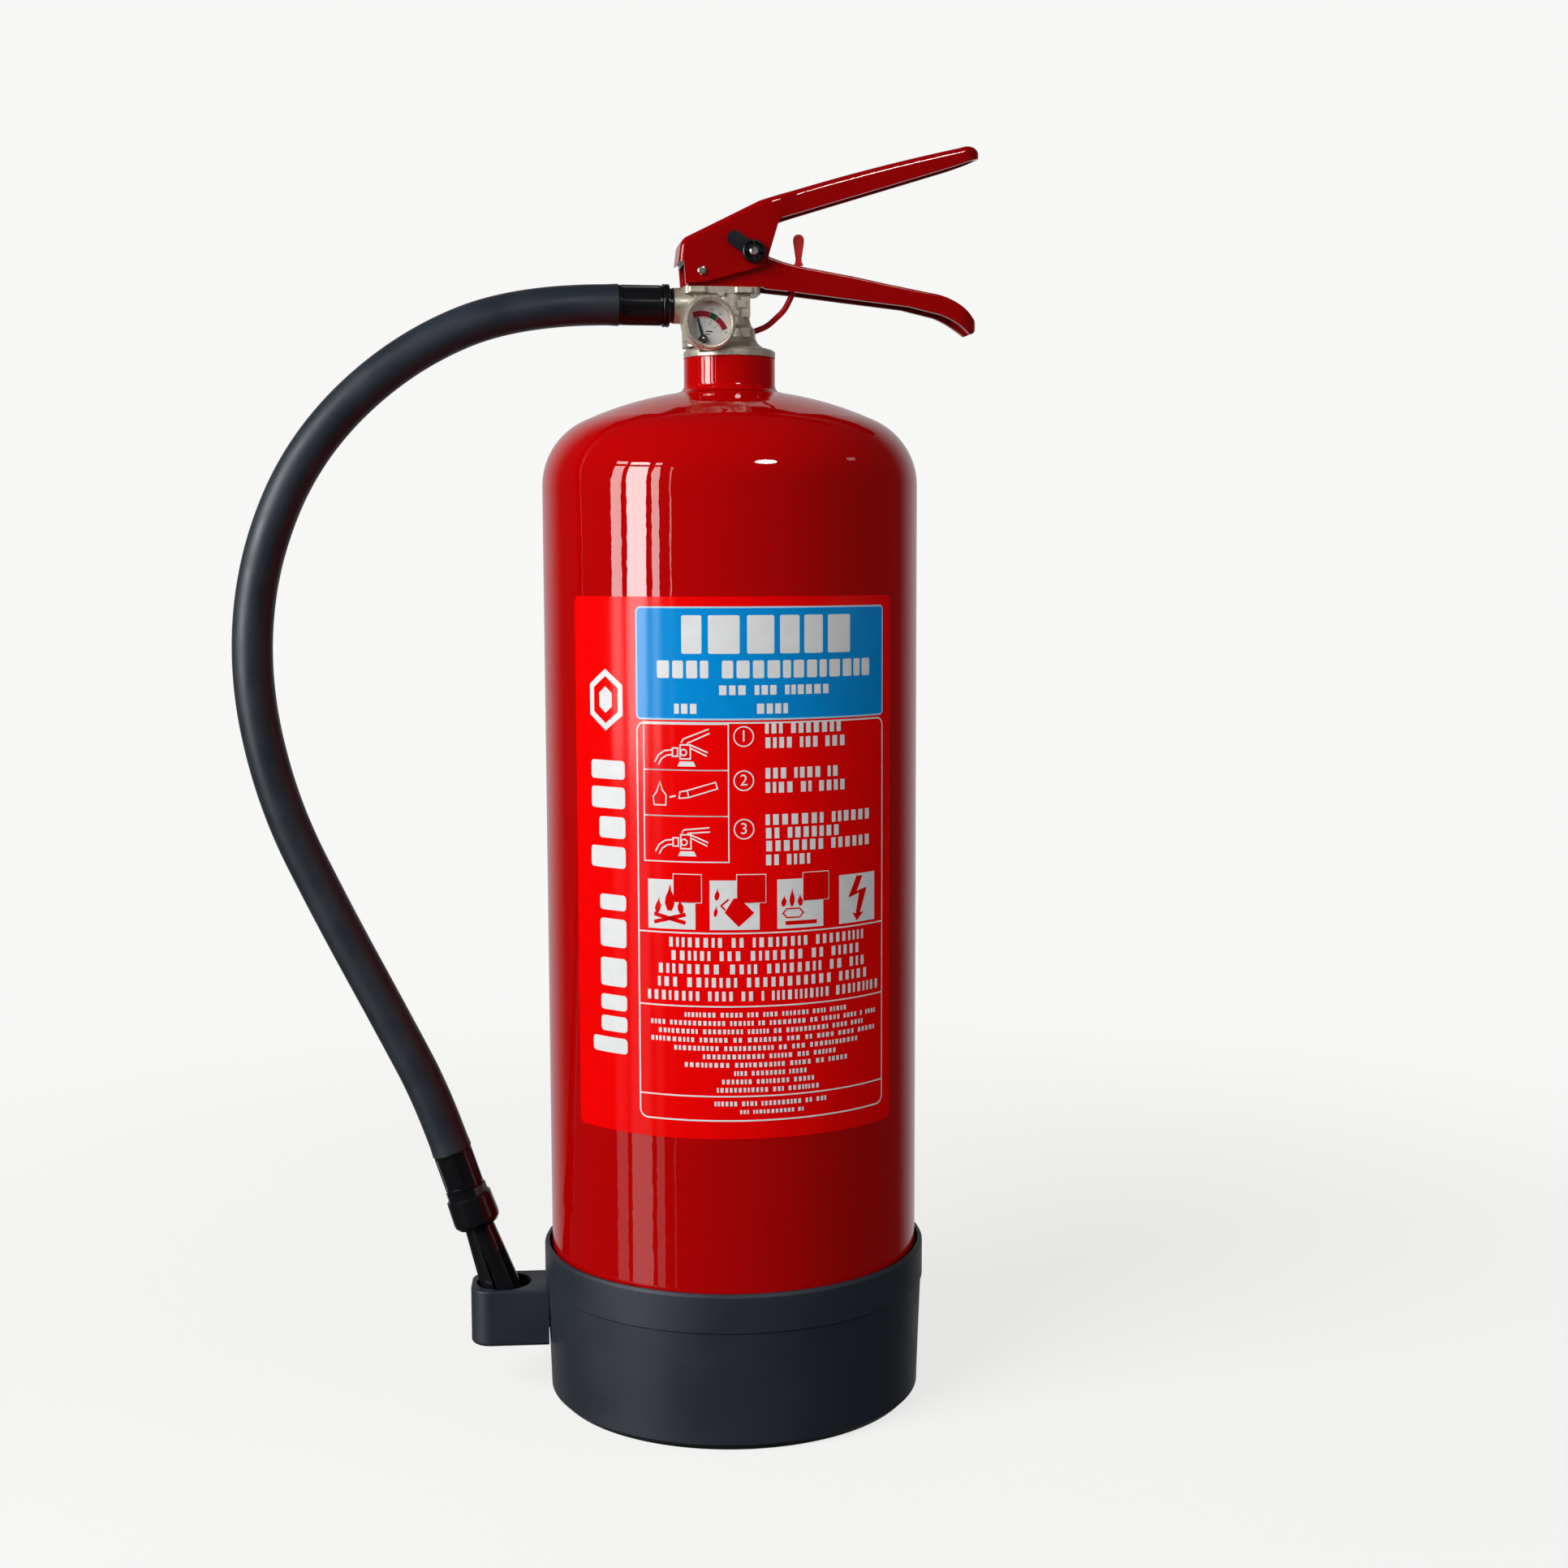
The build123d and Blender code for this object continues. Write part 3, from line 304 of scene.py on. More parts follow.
def rubber(name, colour, roughness):
    """Extruded hose cover: faint lengthwise drag marks, bloom patches and pinholes."""
    s = Shader(name, Specular_IOR_Level=0.45)
    bloom = s.remap(s.noise(22, 6, 0.65), 0.42, 0.72, 0, 1)
    specks = s.remap(s.cells(420), 0.0, 0.16, 1, 0)
    body = s.blend(bloom, colour, scaled(colour, 1.55))
    s.set("Base Color", s.blend(specks, body, scaled(colour, 1.9)))
    s.set("Roughness", s.remap(s.noise(70, 4), 0.3, 0.7, roughness - 0.08, roughness + 0.1))
    fine = s.bump(s.noise(900, 2), 0.02 * MM, 0.6)
    s.set("Normal", s.bump(s.noise(55, 3, stretch=(1, 1, 0.4)), 0.22 * MM, 0.35, over=fine))
    return s.mat


def cast_metal(name, colour, roughness, grain=0.12, wear=0.8):
    """Bead-blasted casting under nickel: grainy skin, soft hollows and, with wear, darker pits."""
    s = Shader(name, Metallic=0.62, Specular_IOR_Level=0.4)
    tone = s.remap(s.noise(120, 5, 0.6), 0.35, 0.68, 0, 1)
    pits = s.remap(s.noise(380, 4, 0.7), 0.30, 0.44, 1, 0)
    body = s.blend(tone, colour, scaled(colour, 1 - 0.2 * wear))
    s.set("Base Color", s.blend(pits, body, scaled(colour, 1 - 0.55 * wear)))
    s.set("Roughness", s.remap(s.noise(260, 3), 0.3, 0.7, roughness - 0.08, roughness + 0.12))
    fine = s.bump(s.noise(1100, 3, 0.6), grain * MM, 0.5)
    s.set("Normal", s.bump(s.noise(170, 3), 0.7 * wear * MM, 0.3, over=fine))
    return s.mat


def turned_metal(name, colour, roughness):
    """Turned or drawn metal: fine tool lines and small tarnish spots."""
    s = Shader(name, Metallic=1.0)
    spots = s.remap(s.noise(500, 4, 0.6), 0.55, 0.75, 0, 1)
    s.set("Base Color", s.blend(spots, colour, scaled(colour, 0.7)))
    s.set("Roughness", s.remap(s.noise(300, 3), 0.3, 0.7, max(roughness - 0.05, 0.04), roughness + 0.08))
    s.set("Normal", s.bump(s.noise(2400, 2), 0.01 * MM, 0.5))
    return s.mat


def film(name, colour, roughness=0.16):
    """Printed self-adhesive film under a clear layer, with the slight waviness of hand-laid film."""
    s = Shader(name, Coat_Weight=0.30, Coat_Roughness=0.12, Specular_IOR_Level=0.0)
    s.set("Base Color", s.blend(s.remap(s.noise(160, 4), 0.3, 0.7, 0, 1), colour, scaled(colour, 0.94)))
    s.set("Roughness", s.remap(s.noise(30, 3), 0.3, 0.7, roughness - 0.04, roughness + 0.06))
    wave = s.bump(s.noise(14, 2), 0.25 * MM, 0.12)
    s.set("Normal", wave)
    s.links.new(wave, s.bsdf.inputs["Coat Normal"])
    return s.mat


def soft_plastic(name, colour):
    """Coloured translucent strap plastic."""
    s = Shader(name, Subsurface_Weight=0.25, Subsurface_Scale=0.002, Roughness=0.3)
    s.bsdf.inputs["Subsurface Radius"].default_value = (1.0, 0.15, 0.1)
    s.set("Base Color", s.blend(s.remap(s.noise(300, 3), 0.3, 0.7, 0, 1), colour, scaled(colour, 0.8)))
    s.set("Normal", s.bump(s.noise(900, 2), 0.02 * MM, 0.5))
    return s.mat


def clear_lens(name):
    """Thin clear window: nearly see-through, with a weak mirror gloss and a little dust."""
    s = Shader(name, Metallic=1.0, Alpha=0.07)
    s.set("Base Color", s.blend(s.remap(s.noise(900, 5, 0.7), 0.6, 0.8, 0, 1), (1, 1, 1), (0.8, 0.8, 0.78)))
    s.set("Roughness", s.remap(s.noise(500, 5, 0.7), 0.55, 0.8, 0.02, 0.12))
    return s.mat


RED = (0.480, 0.0003, 0.0008)
HANDLE_RED = (0.340, 0.0004, 0.0010)
LABEL_RED = (0.960, 0.0010, 0.0010)
SLATE = (0.017, 0.022, 0.031)
NICKEL = (0.62, 0.57, 0.46)

MATERIALS = {
    "red_paint": enamel("red_paint", RED, 0.30, 0.020 * MM),
    "handle_red": enamel("handle_red", HANDLE_RED, 0.32, 0.006 * MM),
    "label_film": film("label_film", LABEL_RED),
    "boot_plastic": moulded("boot_plastic", SLATE, 0.50, 1500, 0.030 * MM),
    "hose_rubber": rubber("hose_rubber", scaled(SLATE, 0.95), 0.44),
    "fitting_plastic": moulded("fitting_plastic", (0.006, 0.0065, 0.008), 0.17, 900, 0.006 * MM, 1.6),
    "clip_plastic": moulded("clip_plastic", (0.006, 0.007, 0.010), 0.26, 900, 0.006 * MM, 1.6),
    "nickel_brass": cast_metal("nickel_brass", NICKEL, 0.36),
    "gauge_metal": cast_metal("gauge_metal", (0.68, 0.62, 0.50), 0.28, 0.02, 0.2),
    "brass": turned_metal("brass", (0.72, 0.50, 0.22), 0.25),
    "steel": turned_metal("steel", (0.72, 0.70, 0.64), 0.18),
    "seal_red": soft_plastic("seal_red", (0.85, 0.006, 0.008)),
    "seal_rubber": rubber("seal_rubber", (0.012, 0.012, 0.013), 0.6),
    "dial_white": film("dial_white", (0.90, 0.90, 0.88), 0.4),
    "gauge_black": moulded("gauge_black", (0.008, 0.008, 0.009), 0.45, 900, 0.004 * MM),
    "clear_lens": clear_lens("clear_lens"),
    "pvc": moulded("pvc", (0.70, 0.70, 0.67), 0.4, 900, 0.01 * MM, 0.9),
    "powder": rubber("powder", (0.66, 0.60, 0.38), 0.9),
}
INKS = {
    "white": film("ink_white", (0.86, 0.87, 0.87)),
    "blue": film("ink_blue", (0.002, 0.290, 0.760)),
    "sky": film("ink_sky", (0.45, 0.72, 0.90)),
    "red": film("ink_red", scaled(LABEL_RED, 0.85)),
    "dial_red": film("ink_dial_red", (0.42, 0.02, 0.035), 0.5),
    "dial_green": film("ink_dial_green", (0.03, 0.10, 0.055), 0.5),
    "black": film("ink_black", (0.012, 0.012, 0.014), 0.5),
}


def dress_nodes():
    """Every carried-over CAD node gets its slot's material."""
    for sub in frame["record"]["subparts"]:
        mesh = NODES[sub["node"]].data
        mesh.materials.clear()
        mesh.materials.append(MATERIALS[sub["material_slot"]])


# ---- printed shapes -----------------------------------------------------------------------
ARC_STEP = 12.0                          # degrees of arc for each run of a printed ring


class Print:
    """Flat shapes in millimetres, later laid on a surface as a thin closed layer of ink."""

    def __init__(self):
        self.loops = []

    def poly(self, points):
        self.loops.append([tuple(p) for p in points])

    def rect(self, x0, y0, x1, y1, r=0.0):
        self.poly(rounded(x0, y0, x1, y1, r) if r else [(x0, y0), (x1, y0), (x1, y1), (x0, y1)])

    def line(self, points, width, closed=False):
        """Band of even width along a polyline, one quad for each run, mitred."""
        left, right = [], []
        count = len(points)
        for k, (x, y) in enumerate(points):
            before = points[k - 1] if k or closed else None
            after = points[(k + 1) % count] if k < count - 1 or closed else None
            nx, ny = mitre(before, (x, y), after)
            left.append((x + nx * width / 2, y + ny * width / 2))
            right.append((x - nx * width / 2, y - ny * width / 2))
        for k in range(count if closed else count - 1):
            n = (k + 1) % count
            self.poly([right[k], right[n], left[n], left[k]])

    def ring(self, x, y, r, width, start=0.0, end=360.0):
        steps = max(6, round(abs(end - start) / ARC_STEP))
        turns = [math.radians(start + (end - start) * k / steps) for k in range(steps + 1)]
        arc = [(x + r * math.cos(turn), y + r * math.sin(turn)) for turn in turns]
        if abs(end - start) >= 360:
            self.line(arc[:-1], width, closed=True)
        else:
            self.line(arc, width)

    def text(self, body, x, y, size):
        """Plain numeral centred on a point, as on a dial."""
        curve = bpy.data.curves.new("numeral", "FONT")
        curve.body, curve.size, curve.align_x, curve.align_y = body, size, "CENTER", "CENTER"
        curve.resolution_u = 3
        obj = bpy.data.objects.new("numeral", curve)
        bpy.context.scene.collection.objects.link(obj)
        bpy.context.view_layer.update()
        mesh = bpy.data.meshes.new_from_object(obj.evaluated_get(bpy.context.evaluated_depsgraph_get()))
        for face in mesh.polygons:
            self.poly([(x + mesh.vertices[v].co.x, y + mesh.vertices[v].co.y) for v in face.vertices])
        bpy.data.objects.remove(obj)

    def laid(self, name, material, lay, thickness, cut_every=None):
        """The mesh of the shapes, mapped by lay(x, y, height) and cut often enough to follow a curve."""
        bm = bmesh.new()
        for loop in self.loops:
            bm.faces.new([bm.verts.new((x, y, 0)) for x, y in loop])
        if cut_every:
            xs = [v.co.x for v in bm.verts]
            at = math.floor(min(xs) / cut_every) * cut_every
            while at < max(xs):
                bmesh.ops.bisect_plane(bm, geom=bm.verts[:] + bm.edges[:] + bm.faces[:], dist=1e-4,
                                       plane_co=(at, 0, 0), plane_no=(1, 0, 0))
                at += cut_every
        bmesh.ops.recalc_face_normals(bm, faces=bm.faces)
        for face in bm.faces:
            if face.normal.z < 0:
                face.normal_flip()
        flat = bm.faces[:]
        copied = bmesh.ops.duplicate(bm, geom=bm.verts[:] + bm.edges[:] + flat)
        for vert in [g for g in copied["geom"] if isinstance(g, bmesh.types.BMVert)]:
            vert.co.z = thickness
        tops = copied["face_map"]
        close_sides(bm, flat, tops)
        for face in flat:
            face.normal_flip()
        for vert in bm.verts:
            vert.co = lay(*vert.co)
        mesh = bpy.data.meshes.new(name)
        bm.to_mesh(mesh)
        bm.free()
        return add_object(name, mesh, material, 30)


def close_sides(bm, flat, tops):
    """Joins the open rim of each flat face group to its raised copy."""
    raised = {}
    for face in flat:
        for low, high in zip(face.verts, tops[face].verts):
            raised[low] = high
    for face in flat:
        for loop in face.loops:
            if len(loop.edge.link_faces) == 1:
                a, b = loop.vert, loop.link_loop_next.vert
                bm.faces.new((a, b, raised[b], raised[a]))


def mitre(before, here, after):
    """Offset direction at a polyline's point, long enough to keep the band's width."""
    runs = []
    for a, b in ((before, here), (here, after)):
        if a is not None and b is not None:
            length = math.hypot(b[0] - a[0], b[1] - a[1]) or 1.0
            runs.append((-(b[1] - a[1]) / length, (b[0] - a[0]) / length))
    nx, ny = sum(r[0] for r in runs) / len(runs), sum(r[1] for r in runs) / len(runs)
    size = max(nx * nx + ny * ny, 0.25)
    return nx / size, ny / size


def rounded(x0, y0, x1, y1, r):
    """Corner points of a rounded rectangle, anticlockwise."""
    points, steps = [], 5
    corners = ((x1 - r, y0 + r, -90), (x1 - r, y1 - r, 0), (x0 + r, y1 - r, 90), (x0 + r, y0 + r, 180))
    for cx, cy, start in corners:
        for k in range(steps + 1):
            turn = math.radians(start + 90 * k / steps)
            points.append((cx + r * math.cos(turn), cy + r * math.sin(turn)))
    return points


def on_label(lift):
    """Lays print on the label: x is millimetres round from the front towards +X, y is height."""
    def lay(x, y, height):
        turn = x * MM / LABEL_R
        radius = LABEL_R + (height + lift) * MM
        return Vector((radius * math.sin(turn), -radius * math.cos(turn), y * MM))
    return lay


def on_dial(lift):
    """Lays print on the gauge's dial: x to its right and y up, in millimetres from its centre."""
    def lay(x, y, height):
        return DIAL_FACE + GAUGE_SIDE * x * MM + Vector((0, 0, y * MM)) + GAUGE_OUT * (height + lift) * MM
    return lay


# ---- label --------------------------------------------------------------------------------
# Layout in millimetres: x round the cylinder from the front towards +X, y above the floor.
PRINT_LEFT, PRINT_RIGHT = -50.4, 59.3
TITLE_LOW, TITLE_HIGH = 301.0, 345.3
PANEL_LOW, PANEL_HIGH = 138.6, 299.6
PANEL_RULES = (215.2, 185.4, 148.6)
STEP_FRAME = (-47.4, -12.4)              # sides of the frames of the three step pictures
STEP_LOW, STEP_TALL = 243.9, 18.4
NUMERAL_X, STEP_TEXT_X = -6.3, 1.8
CLASS_LOW = 216.6                        # foot of the four fire class squares
SMALL_TOP, SMALL_PITCH = 182.0, 3.42
UPRIGHT_FOOT_X, UPRIGHT_TALL = -56.4, 18.6
HEXAGON_CENTRE = (-66.0, 308.0)


def block_words(art, x0, x1, y, tall, words, rng, weight=0.72):
    """A line of generic blocks in place of wording, between x0 and x1 and centred on y."""
    for low, high in word_cells(x0, x1, words, rng, weight, (0.75, 1.0, 1.0, 1.15)):
        art.rect(low, y - tall / 2, high, y + tall / 2, r=0.7 if tall > 5 else 0)


def word_cells(start, end, words, rng, weight, widths):
    """Spans of the cells of a line of words; weight is how much of its place a cell fills."""
    cells = []
    for k, count in enumerate(words):
        cells += [rng.choice(widths) for _ in range(count)]
        if k < len(words) - 1:
            cells.append(-0.75)
    unit = (end - start) / sum(abs(c) for c in cells)
    spans, at = [], start
    for cell in cells:
        wide = abs(cell) * unit
        if cell > 0:
            spans.append((at + wide * (1 - weight) / 2, at + wide * (1 + weight) / 2))
        at += wide
    return spans


def upright_words(art, x_foot, start, end, tall, words, rng):
    """Generic blocks of uneven height that run up the label, their feet to the right on x_foot."""
    for k, (low, high) in enumerate(word_cells(start, end, words, rng, 0.72, (0.55, 1.0, 1.15))):
        height = tall if k == 0 else tall * rng.choice((0.74, 0.74, 0.97))
        art.rect(x_foot - height, low, x_foot, high, r=1.6)


def flame(art, x, y, wide, tall, lean=0.0):
    """Plain teardrop flame standing on (x, y)."""
    left = [(-0.5, 0.28), (-0.42, 0.5), (-0.16, 0.72), (0.06, 1.0)]
    right = [(0.16, 0.74), (0.5, 0.48), (0.44, 0.2), (0.2, 0.0), (-0.24, 0.0)]
    art.poly([(x + (px + lean * py) * wide, y + py * tall) for px, py in (left + right)][::-1])


def operating_picture(art, x, y, lever_up):
    """Line drawing of a valve head with hose, lever and carrying handle, about 26 by 13 mm."""
    def at(points):
        return [(x + px, y + py) for px, py in points]
    pen = 0.55
    art.line(at([(0, 1.6), (1.6, 4.4), (4.2, 6.2), (7.6, 6.6)]), pen)
    art.line(at([(1.6, 0.6), (3.0, 3.0), (5.2, 4.4), (7.6, 4.7)]), pen)
    art.line(at([(7.6, 4.0), (7.6, 7.3), (9.8, 7.3), (9.8, 4.0)]), pen, closed=True)
    art.line(at([(10.8, 3.0), (10.8, 8.6), (15.0, 8.6), (15.0, 3.0)]), pen, closed=True)
    art.poly(at([(9.6, 0.0), (17.2, 0.0), (16.2, 2.0), (10.6, 2.0)]))
    art.ring(x + 12.2, y + 5.6, 1.2, pen)
    tip = 15.0 if lever_up else 11.6
    art.line(at([(11.2, 9.4), (12.2, 11.0 if lever_up else 10.6), (22.5, tip)]), pen)
    art.line(at([(13.6, 9.2), (22.8, tip - 1.7)]), pen)
    art.line(at([(14.6, 8.8), (22.0, 5.6)]), pen)
    art.line(at([(15.4, 7.2), (21.6, 4.2)]), pen)


def aiming_picture(art, x, y):
    """Line drawing of a small fire and a nozzle aimed at its base."""
    pen = 0.5
    fire = [(0.6, 0.2), (0.2, 3.4), (1.8, 5.6), (3.2, 9.6), (4.2, 6.2), (5.8, 4.2), (5.6, 0.2)]
    art.line([(x + px, y + py) for px, py in fire], pen, closed=True)
    art.line([(x + px, y + py) for px, py in ((7.2, 3.4), (9.8, 4.0))], 0.7)
    nozzle = [(11.2, 3.0), (11.6, 5.6), (14.6, 6.2), (26.0, 9.6), (26.8, 7.0), (15.2, 3.4)]
    art.line([(x + px, y + py) for px, py in nozzle], pen, closed=True)
    art.line([(x + px, y + py) for px, py in ((14.6, 6.2), (15.2, 3.4))], pen)


def print_panels(white, blue, sky):
    """Blue title panel, the outlined panel under it, and that panel's rules."""
    blue.rect(PRINT_LEFT, TITLE_LOW, PRINT_RIGHT, TITLE_HIGH, r=1.8)
    sky.line(rounded(PRINT_LEFT, TITLE_LOW, PRINT_RIGHT, TITLE_HIGH, 1.8), 0.7, closed=True)
    white.line(rounded(PRINT_LEFT, PANEL_LOW, PRINT_RIGHT, PANEL_HIGH, 3.4), 0.65, closed=True)
    for height in PANEL_RULES:
        white.line([(PRINT_LEFT, height), (PRINT_RIGHT, height)], 0.6)


def print_title(white, rng):
    block_words(white, -32.0, 41.5, 334.6, 15.2, [6], rng, weight=0.80)
    block_words(white, -42.0, 51.5, 320.8, 7.0, [4, 12], rng, weight=0.78)
    block_words(white, -16.5, 30.0, 312.6, 3.8, [3, 3, 6], rng)
    block_words(white, -34.5, -24.5, 305.2, 4.0, [3], rng)
    block_words(white, -1.5, 12.0, 305.2, 4.0, [4], rng)


def print_steps(white, rng):
    """Three framed pictures, a numbered ring beside each, and lines of blocks."""
    left, right = STEP_FRAME
    for k in range(3):
        low = STEP_LOW + STEP_TALL * (2 - k)
        high = low + STEP_TALL
        white.line([(left, low), (right, low), (right, high), (left, high)], 0.5, closed=True)
    operating_picture(white, -42.6, 282.2, True)
    aiming_picture(white, -43.6, 266.4)
    operating_picture(white, -42.6, 246.2, False)
    for numeral, height in (("1", 294.2), ("2", 276.6), ("3", 257.2)):
        white.ring(NUMERAL_X, height, 3.9, 0.5)
        white.text(numeral, NUMERAL_X, height, 6.4)
    lines = [(297.4, 36.0, [3, 7]), (291.6, 38.0, [4, 3, 3]),
             (279.4, 34.5, [3, 4, 2]), (273.7, 38.0, [4, 2, 4]),
             (260.8, 51.5, [7, 6]), (255.4, 35.0, [2, 7]), (250.2, 51.5, [7, 6]), (244.6, 21.5, [2, 4])]
    for height, end, words in lines:
        block_words(white, STEP_TEXT_X, end, height, 4.3, words, rng, weight=0.62)


def print_classes(white, red):
    """Four white squares; three have a small empty square over their corner."""
    for x in (-46.0, -20.2, 7.0):
        white.rect(x, CLASS_LOW, x + 20.0, CLASS_LOW + 20.0)
        left, low, right, high = x + 11.0, CLASS_LOW + 11.0, x + 22.4, CLASS_LOW + 22.2
        red.rect(left, low, right, high)
        white.line([(left, low), (right, low), (right, high), (left, high)], 0.6, closed=True)
    white.rect(34.6, CLASS_LOW, 54.2, CLASS_LOW + 20.0)
    class_pictures(red)


def print_notes(white, rng):
    """Lines of blocks under the pictures: a large paragraph, a small one, and two closing lines."""
    large = [(211.4, -37.8, 48.0, [8, 2, 8, 9]), (206.0, -37.0, 45.5, [6, 3, 7, 2, 5]),
             (200.6, -42.4, 48.6, [8, 4, 8, 2, 3]), (195.2, -42.6, 50.0, [3, 7, 11, 5]),
             (189.6, -47.2, 57.0, [8, 4, 2, 1, 11, 9])]
    for height, start, end, words in large:
        block_words(white, start, end, height, 3.9, words, rng, weight=0.5)
    small = [(-31.0, 38.5, [8, 5, 3, 4, 7, 4, 5]), (-45.6, 55.0, [4, 12, 6, 2, 8, 2, 5, 4, 1, 4]),
             (-42.2, 47.5, [9, 9, 6, 2, 10, 4, 4]), (-45.6, 54.5, [10, 6, 2, 7, 3, 2, 4, 4, 5]),
             (-35.6, 44.5, [10, 11, 2, 3, 12]), (-23.6, 33.2, [13, 6, 3, 6]),
             (-31.2, 39.0, [9, 11, 5, 2, 5]), (-11.0, 19.6, [4, 8, 5]),
             (-16.0, 23.0, [7, 8, 5]), (-18.0, 25.2, [12, 3, 8])]
    for k, (start, end, words) in enumerate(small):
        block_words(white, start, end, SMALL_TOP - SMALL_PITCH * k, 1.9, words, rng, weight=0.6)
    block_words(white, -19.0, 28.5, 145.6, 1.9, [6, 4, 10, 2, 3], rng, weight=0.62)
    block_words(white, -8.6, 18.2, 142.2, 1.6, [3, 11, 2], rng, weight=0.62)


def print_side_strip(white, rng):
    """Two upright words of blocks with a plain hexagon over them."""
    upright_words(white, UPRIGHT_FOOT_X, 162.0, 230.0, UPRIGHT_TALL, [6], rng)
    upright_words(white, UPRIGHT_FOOT_X, 238.0, 285.0, UPRIGHT_TALL, [4], rng)
    x, y = HEXAGON_CENTRE
    white.line(hexagon(x, y, 7.6, 11.0), 2.4, closed=True)
    white.poly(hexagon(x, y, 3.4, 5.4))


def make_label_print():
    """The label's print: wording is plain blocks, pictures are generic, and numerals count the steps."""
    rng = random.Random(6)
    white, blue, sky, red = Print(), Print(), Print(), Print()
    print_panels(white, blue, sky)
    print_title(white, rng)
    print_steps(white, rng)
    print_classes(white, red)
    print_notes(white, rng)
    print_side_strip(white, rng)
    layers = ((blue, "label_print_blue", INKS["blue"], 0.02), (sky, "label_print_edge", INKS["sky"], 0.06),
              (white, "label_print_white", INKS["white"], 0.08), (red, "label_print_red", INKS["red"], 0.13))
    for art, name, ink, lift in layers:
        piece = art.laid(name, ink, on_label(lift), 0.03, cut_every=2.0)
        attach(piece, "vessel")


def hexagon(x, y, half_wide, half_tall):
    """Corners of an upright stretched hexagon, anticlockwise."""
    return [(x + half_wide * dx, y + half_tall * dy)
            for dx, dy in ((0, -1), (1, -0.5), (1, 0.5), (0, 1), (-1, 0.5), (-1, -0.5))]


def class_pictures(red):
    """Generic pictures of what burns: logs, a can, a burner, and a lightning bolt."""
    flame(red, -36.6, 224.0, 4.2, 11.0)
    flame(red, -42.0, 223.0, 2.6, 6.5, 0.3)
    flame(red, -31.8, 223.0, 2.6, 6.0, -0.3)
    red.line([(-43.4, 219.2), (-30.0, 222.6)], 1.6)
    red.line([(-43.4, 222.6), (-30.0, 219.2)], 1.6)
    can = [(-14.2, 223.6), (-8.6, 217.8), (-2.4, 223.4), (-8.2, 229.4), (-10.6, 229.4)]
    red.poly(can)
    red.line([(-14.0, 224.6), (-15.6, 226.4), (-12.6, 229.0)], 0.7)
    flame(red, -17.4, 228.6, 2.0, 5.0, 0.2)
    flame(red, -18.0, 222.0, 1.6, 4.4, 0.3)
    for k, (dx, tall) in enumerate(((-3.6, 4.6), (0.0, 7.4), (3.6, 4.8))):
        flame(red, 13.2 + dx, 225.6, 2.2, tall, 0.15 * (1 - k))
    red.line([(9.4, 222.8), (11.0, 224.6), (16.4, 224.6), (18.0, 222.8), (16.4, 221.0), (11.0, 221.0)], 0.6,
             closed=True)
    red.rect(10.4, 218.0, 24.0, 219.6)
    bolt = [(43.6, 235.6), (39.2, 227.0), (45.0, 228.6), (43.2, 220.2), (41.4, 220.8), (43.8, 217.2),
            (47.6, 220.6), (45.6, 220.4), (49.4, 230.6), (43.8, 229.4), (47.0, 235.6)]
    red.poly(bolt[::-1])


# ---- gauge --------------------------------------------------------------------------------
# Angles in degrees, anticlockwise from the dial's right, and radii in millimetres, round the pivot.
BAND_INNER, BAND_OUTER = 9.3, 11.7
BANDS = (("dial_red", 113, 73.5), ("dial_green", 73, 54.5), ("dial_red", 54, 24))
SCALE_START, SCALE_END, SCALE_MARKS = 106, 24, 12
MARK_OUTER, MARK_INNER, LONG_MARK_INNER = 9.1, 8.6, 8.2


def from_pivot(degrees, radius):
    """Place on the dial at an angle and distance from the needle's pivot."""
    turn = math.radians(degrees)
    return NEEDLE_PIVOT[0] + radius * math.cos(turn), NEEDLE_PIVOT[1] + radius * math.sin(turn)


def make_gauge_print():
    """Coloured pressure band, scale marks and numbers round the needle's pivot."""
    px, py = NEEDLE_PIVOT
    for k, (ink, start, end) in enumerate(BANDS):
        band = Print()
        band.ring(px, py, (BAND_INNER + BAND_OUTER) / 2, BAND_OUTER - BAND_INNER, start, end)
        ride_on_dial(band, f"gauge_band_{k}", INKS[ink], 0.01)
    marks = Print()
    for k in range(SCALE_MARKS + 1):
        turn = SCALE_START - (SCALE_START - SCALE_END) * k / SCALE_MARKS
        inner = LONG_MARK_INNER if k % 3 == 0 else MARK_INNER
        marks.line([from_pivot(turn, inner), from_pivot(turn, MARK_OUTER)], 0.16)
    for numeral, turn, radius in (("12", 73, 12.9), ("16", 54, 12.9), ("25", 17, 10.5)):
        marks.text(numeral, *from_pivot(turn, radius), 1.3)
    for numeral, turn in (("5", 85.5), ("10", 65), ("15", 44.5)):
        marks.text(numeral, *from_pivot(turn, 7.2), 1.1)
    marks.rect(px + 1.4, py + 3.0, px + 4.2, py + 3.5)
    marks.rect(px + 1.0, py + 1.9, px + 3.2, py + 2.3)
    ride_on_dial(marks, "gauge_marks", INKS["black"], 0.03)


def ride_on_dial(art, name, ink, lift):
    piece = art.laid(name, ink, on_dial(lift), 0.02)
    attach(piece, "vessel")


def make_needle_cap():
    """Small bright dome pressed on the needle's spindle."""
    centre = DIAL_FACE + GAUGE_SIDE * NEEDLE_PIVOT[0] * MM + Vector((0, 0, NEEDLE_PIVOT[1] * MM))
    outline = [(0, 1.22), (1.15, 1.22), (1.2, 1.4), (1.05, 1.72), (0.65, 1.92), (0, 1.98)]
    cap = lathe_mesh("gauge_needle_cap", outline, centre, GAUGE_OUT, GAUGE_SIDE, MATERIALS["steel"], 32)
    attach(cap, "needle")


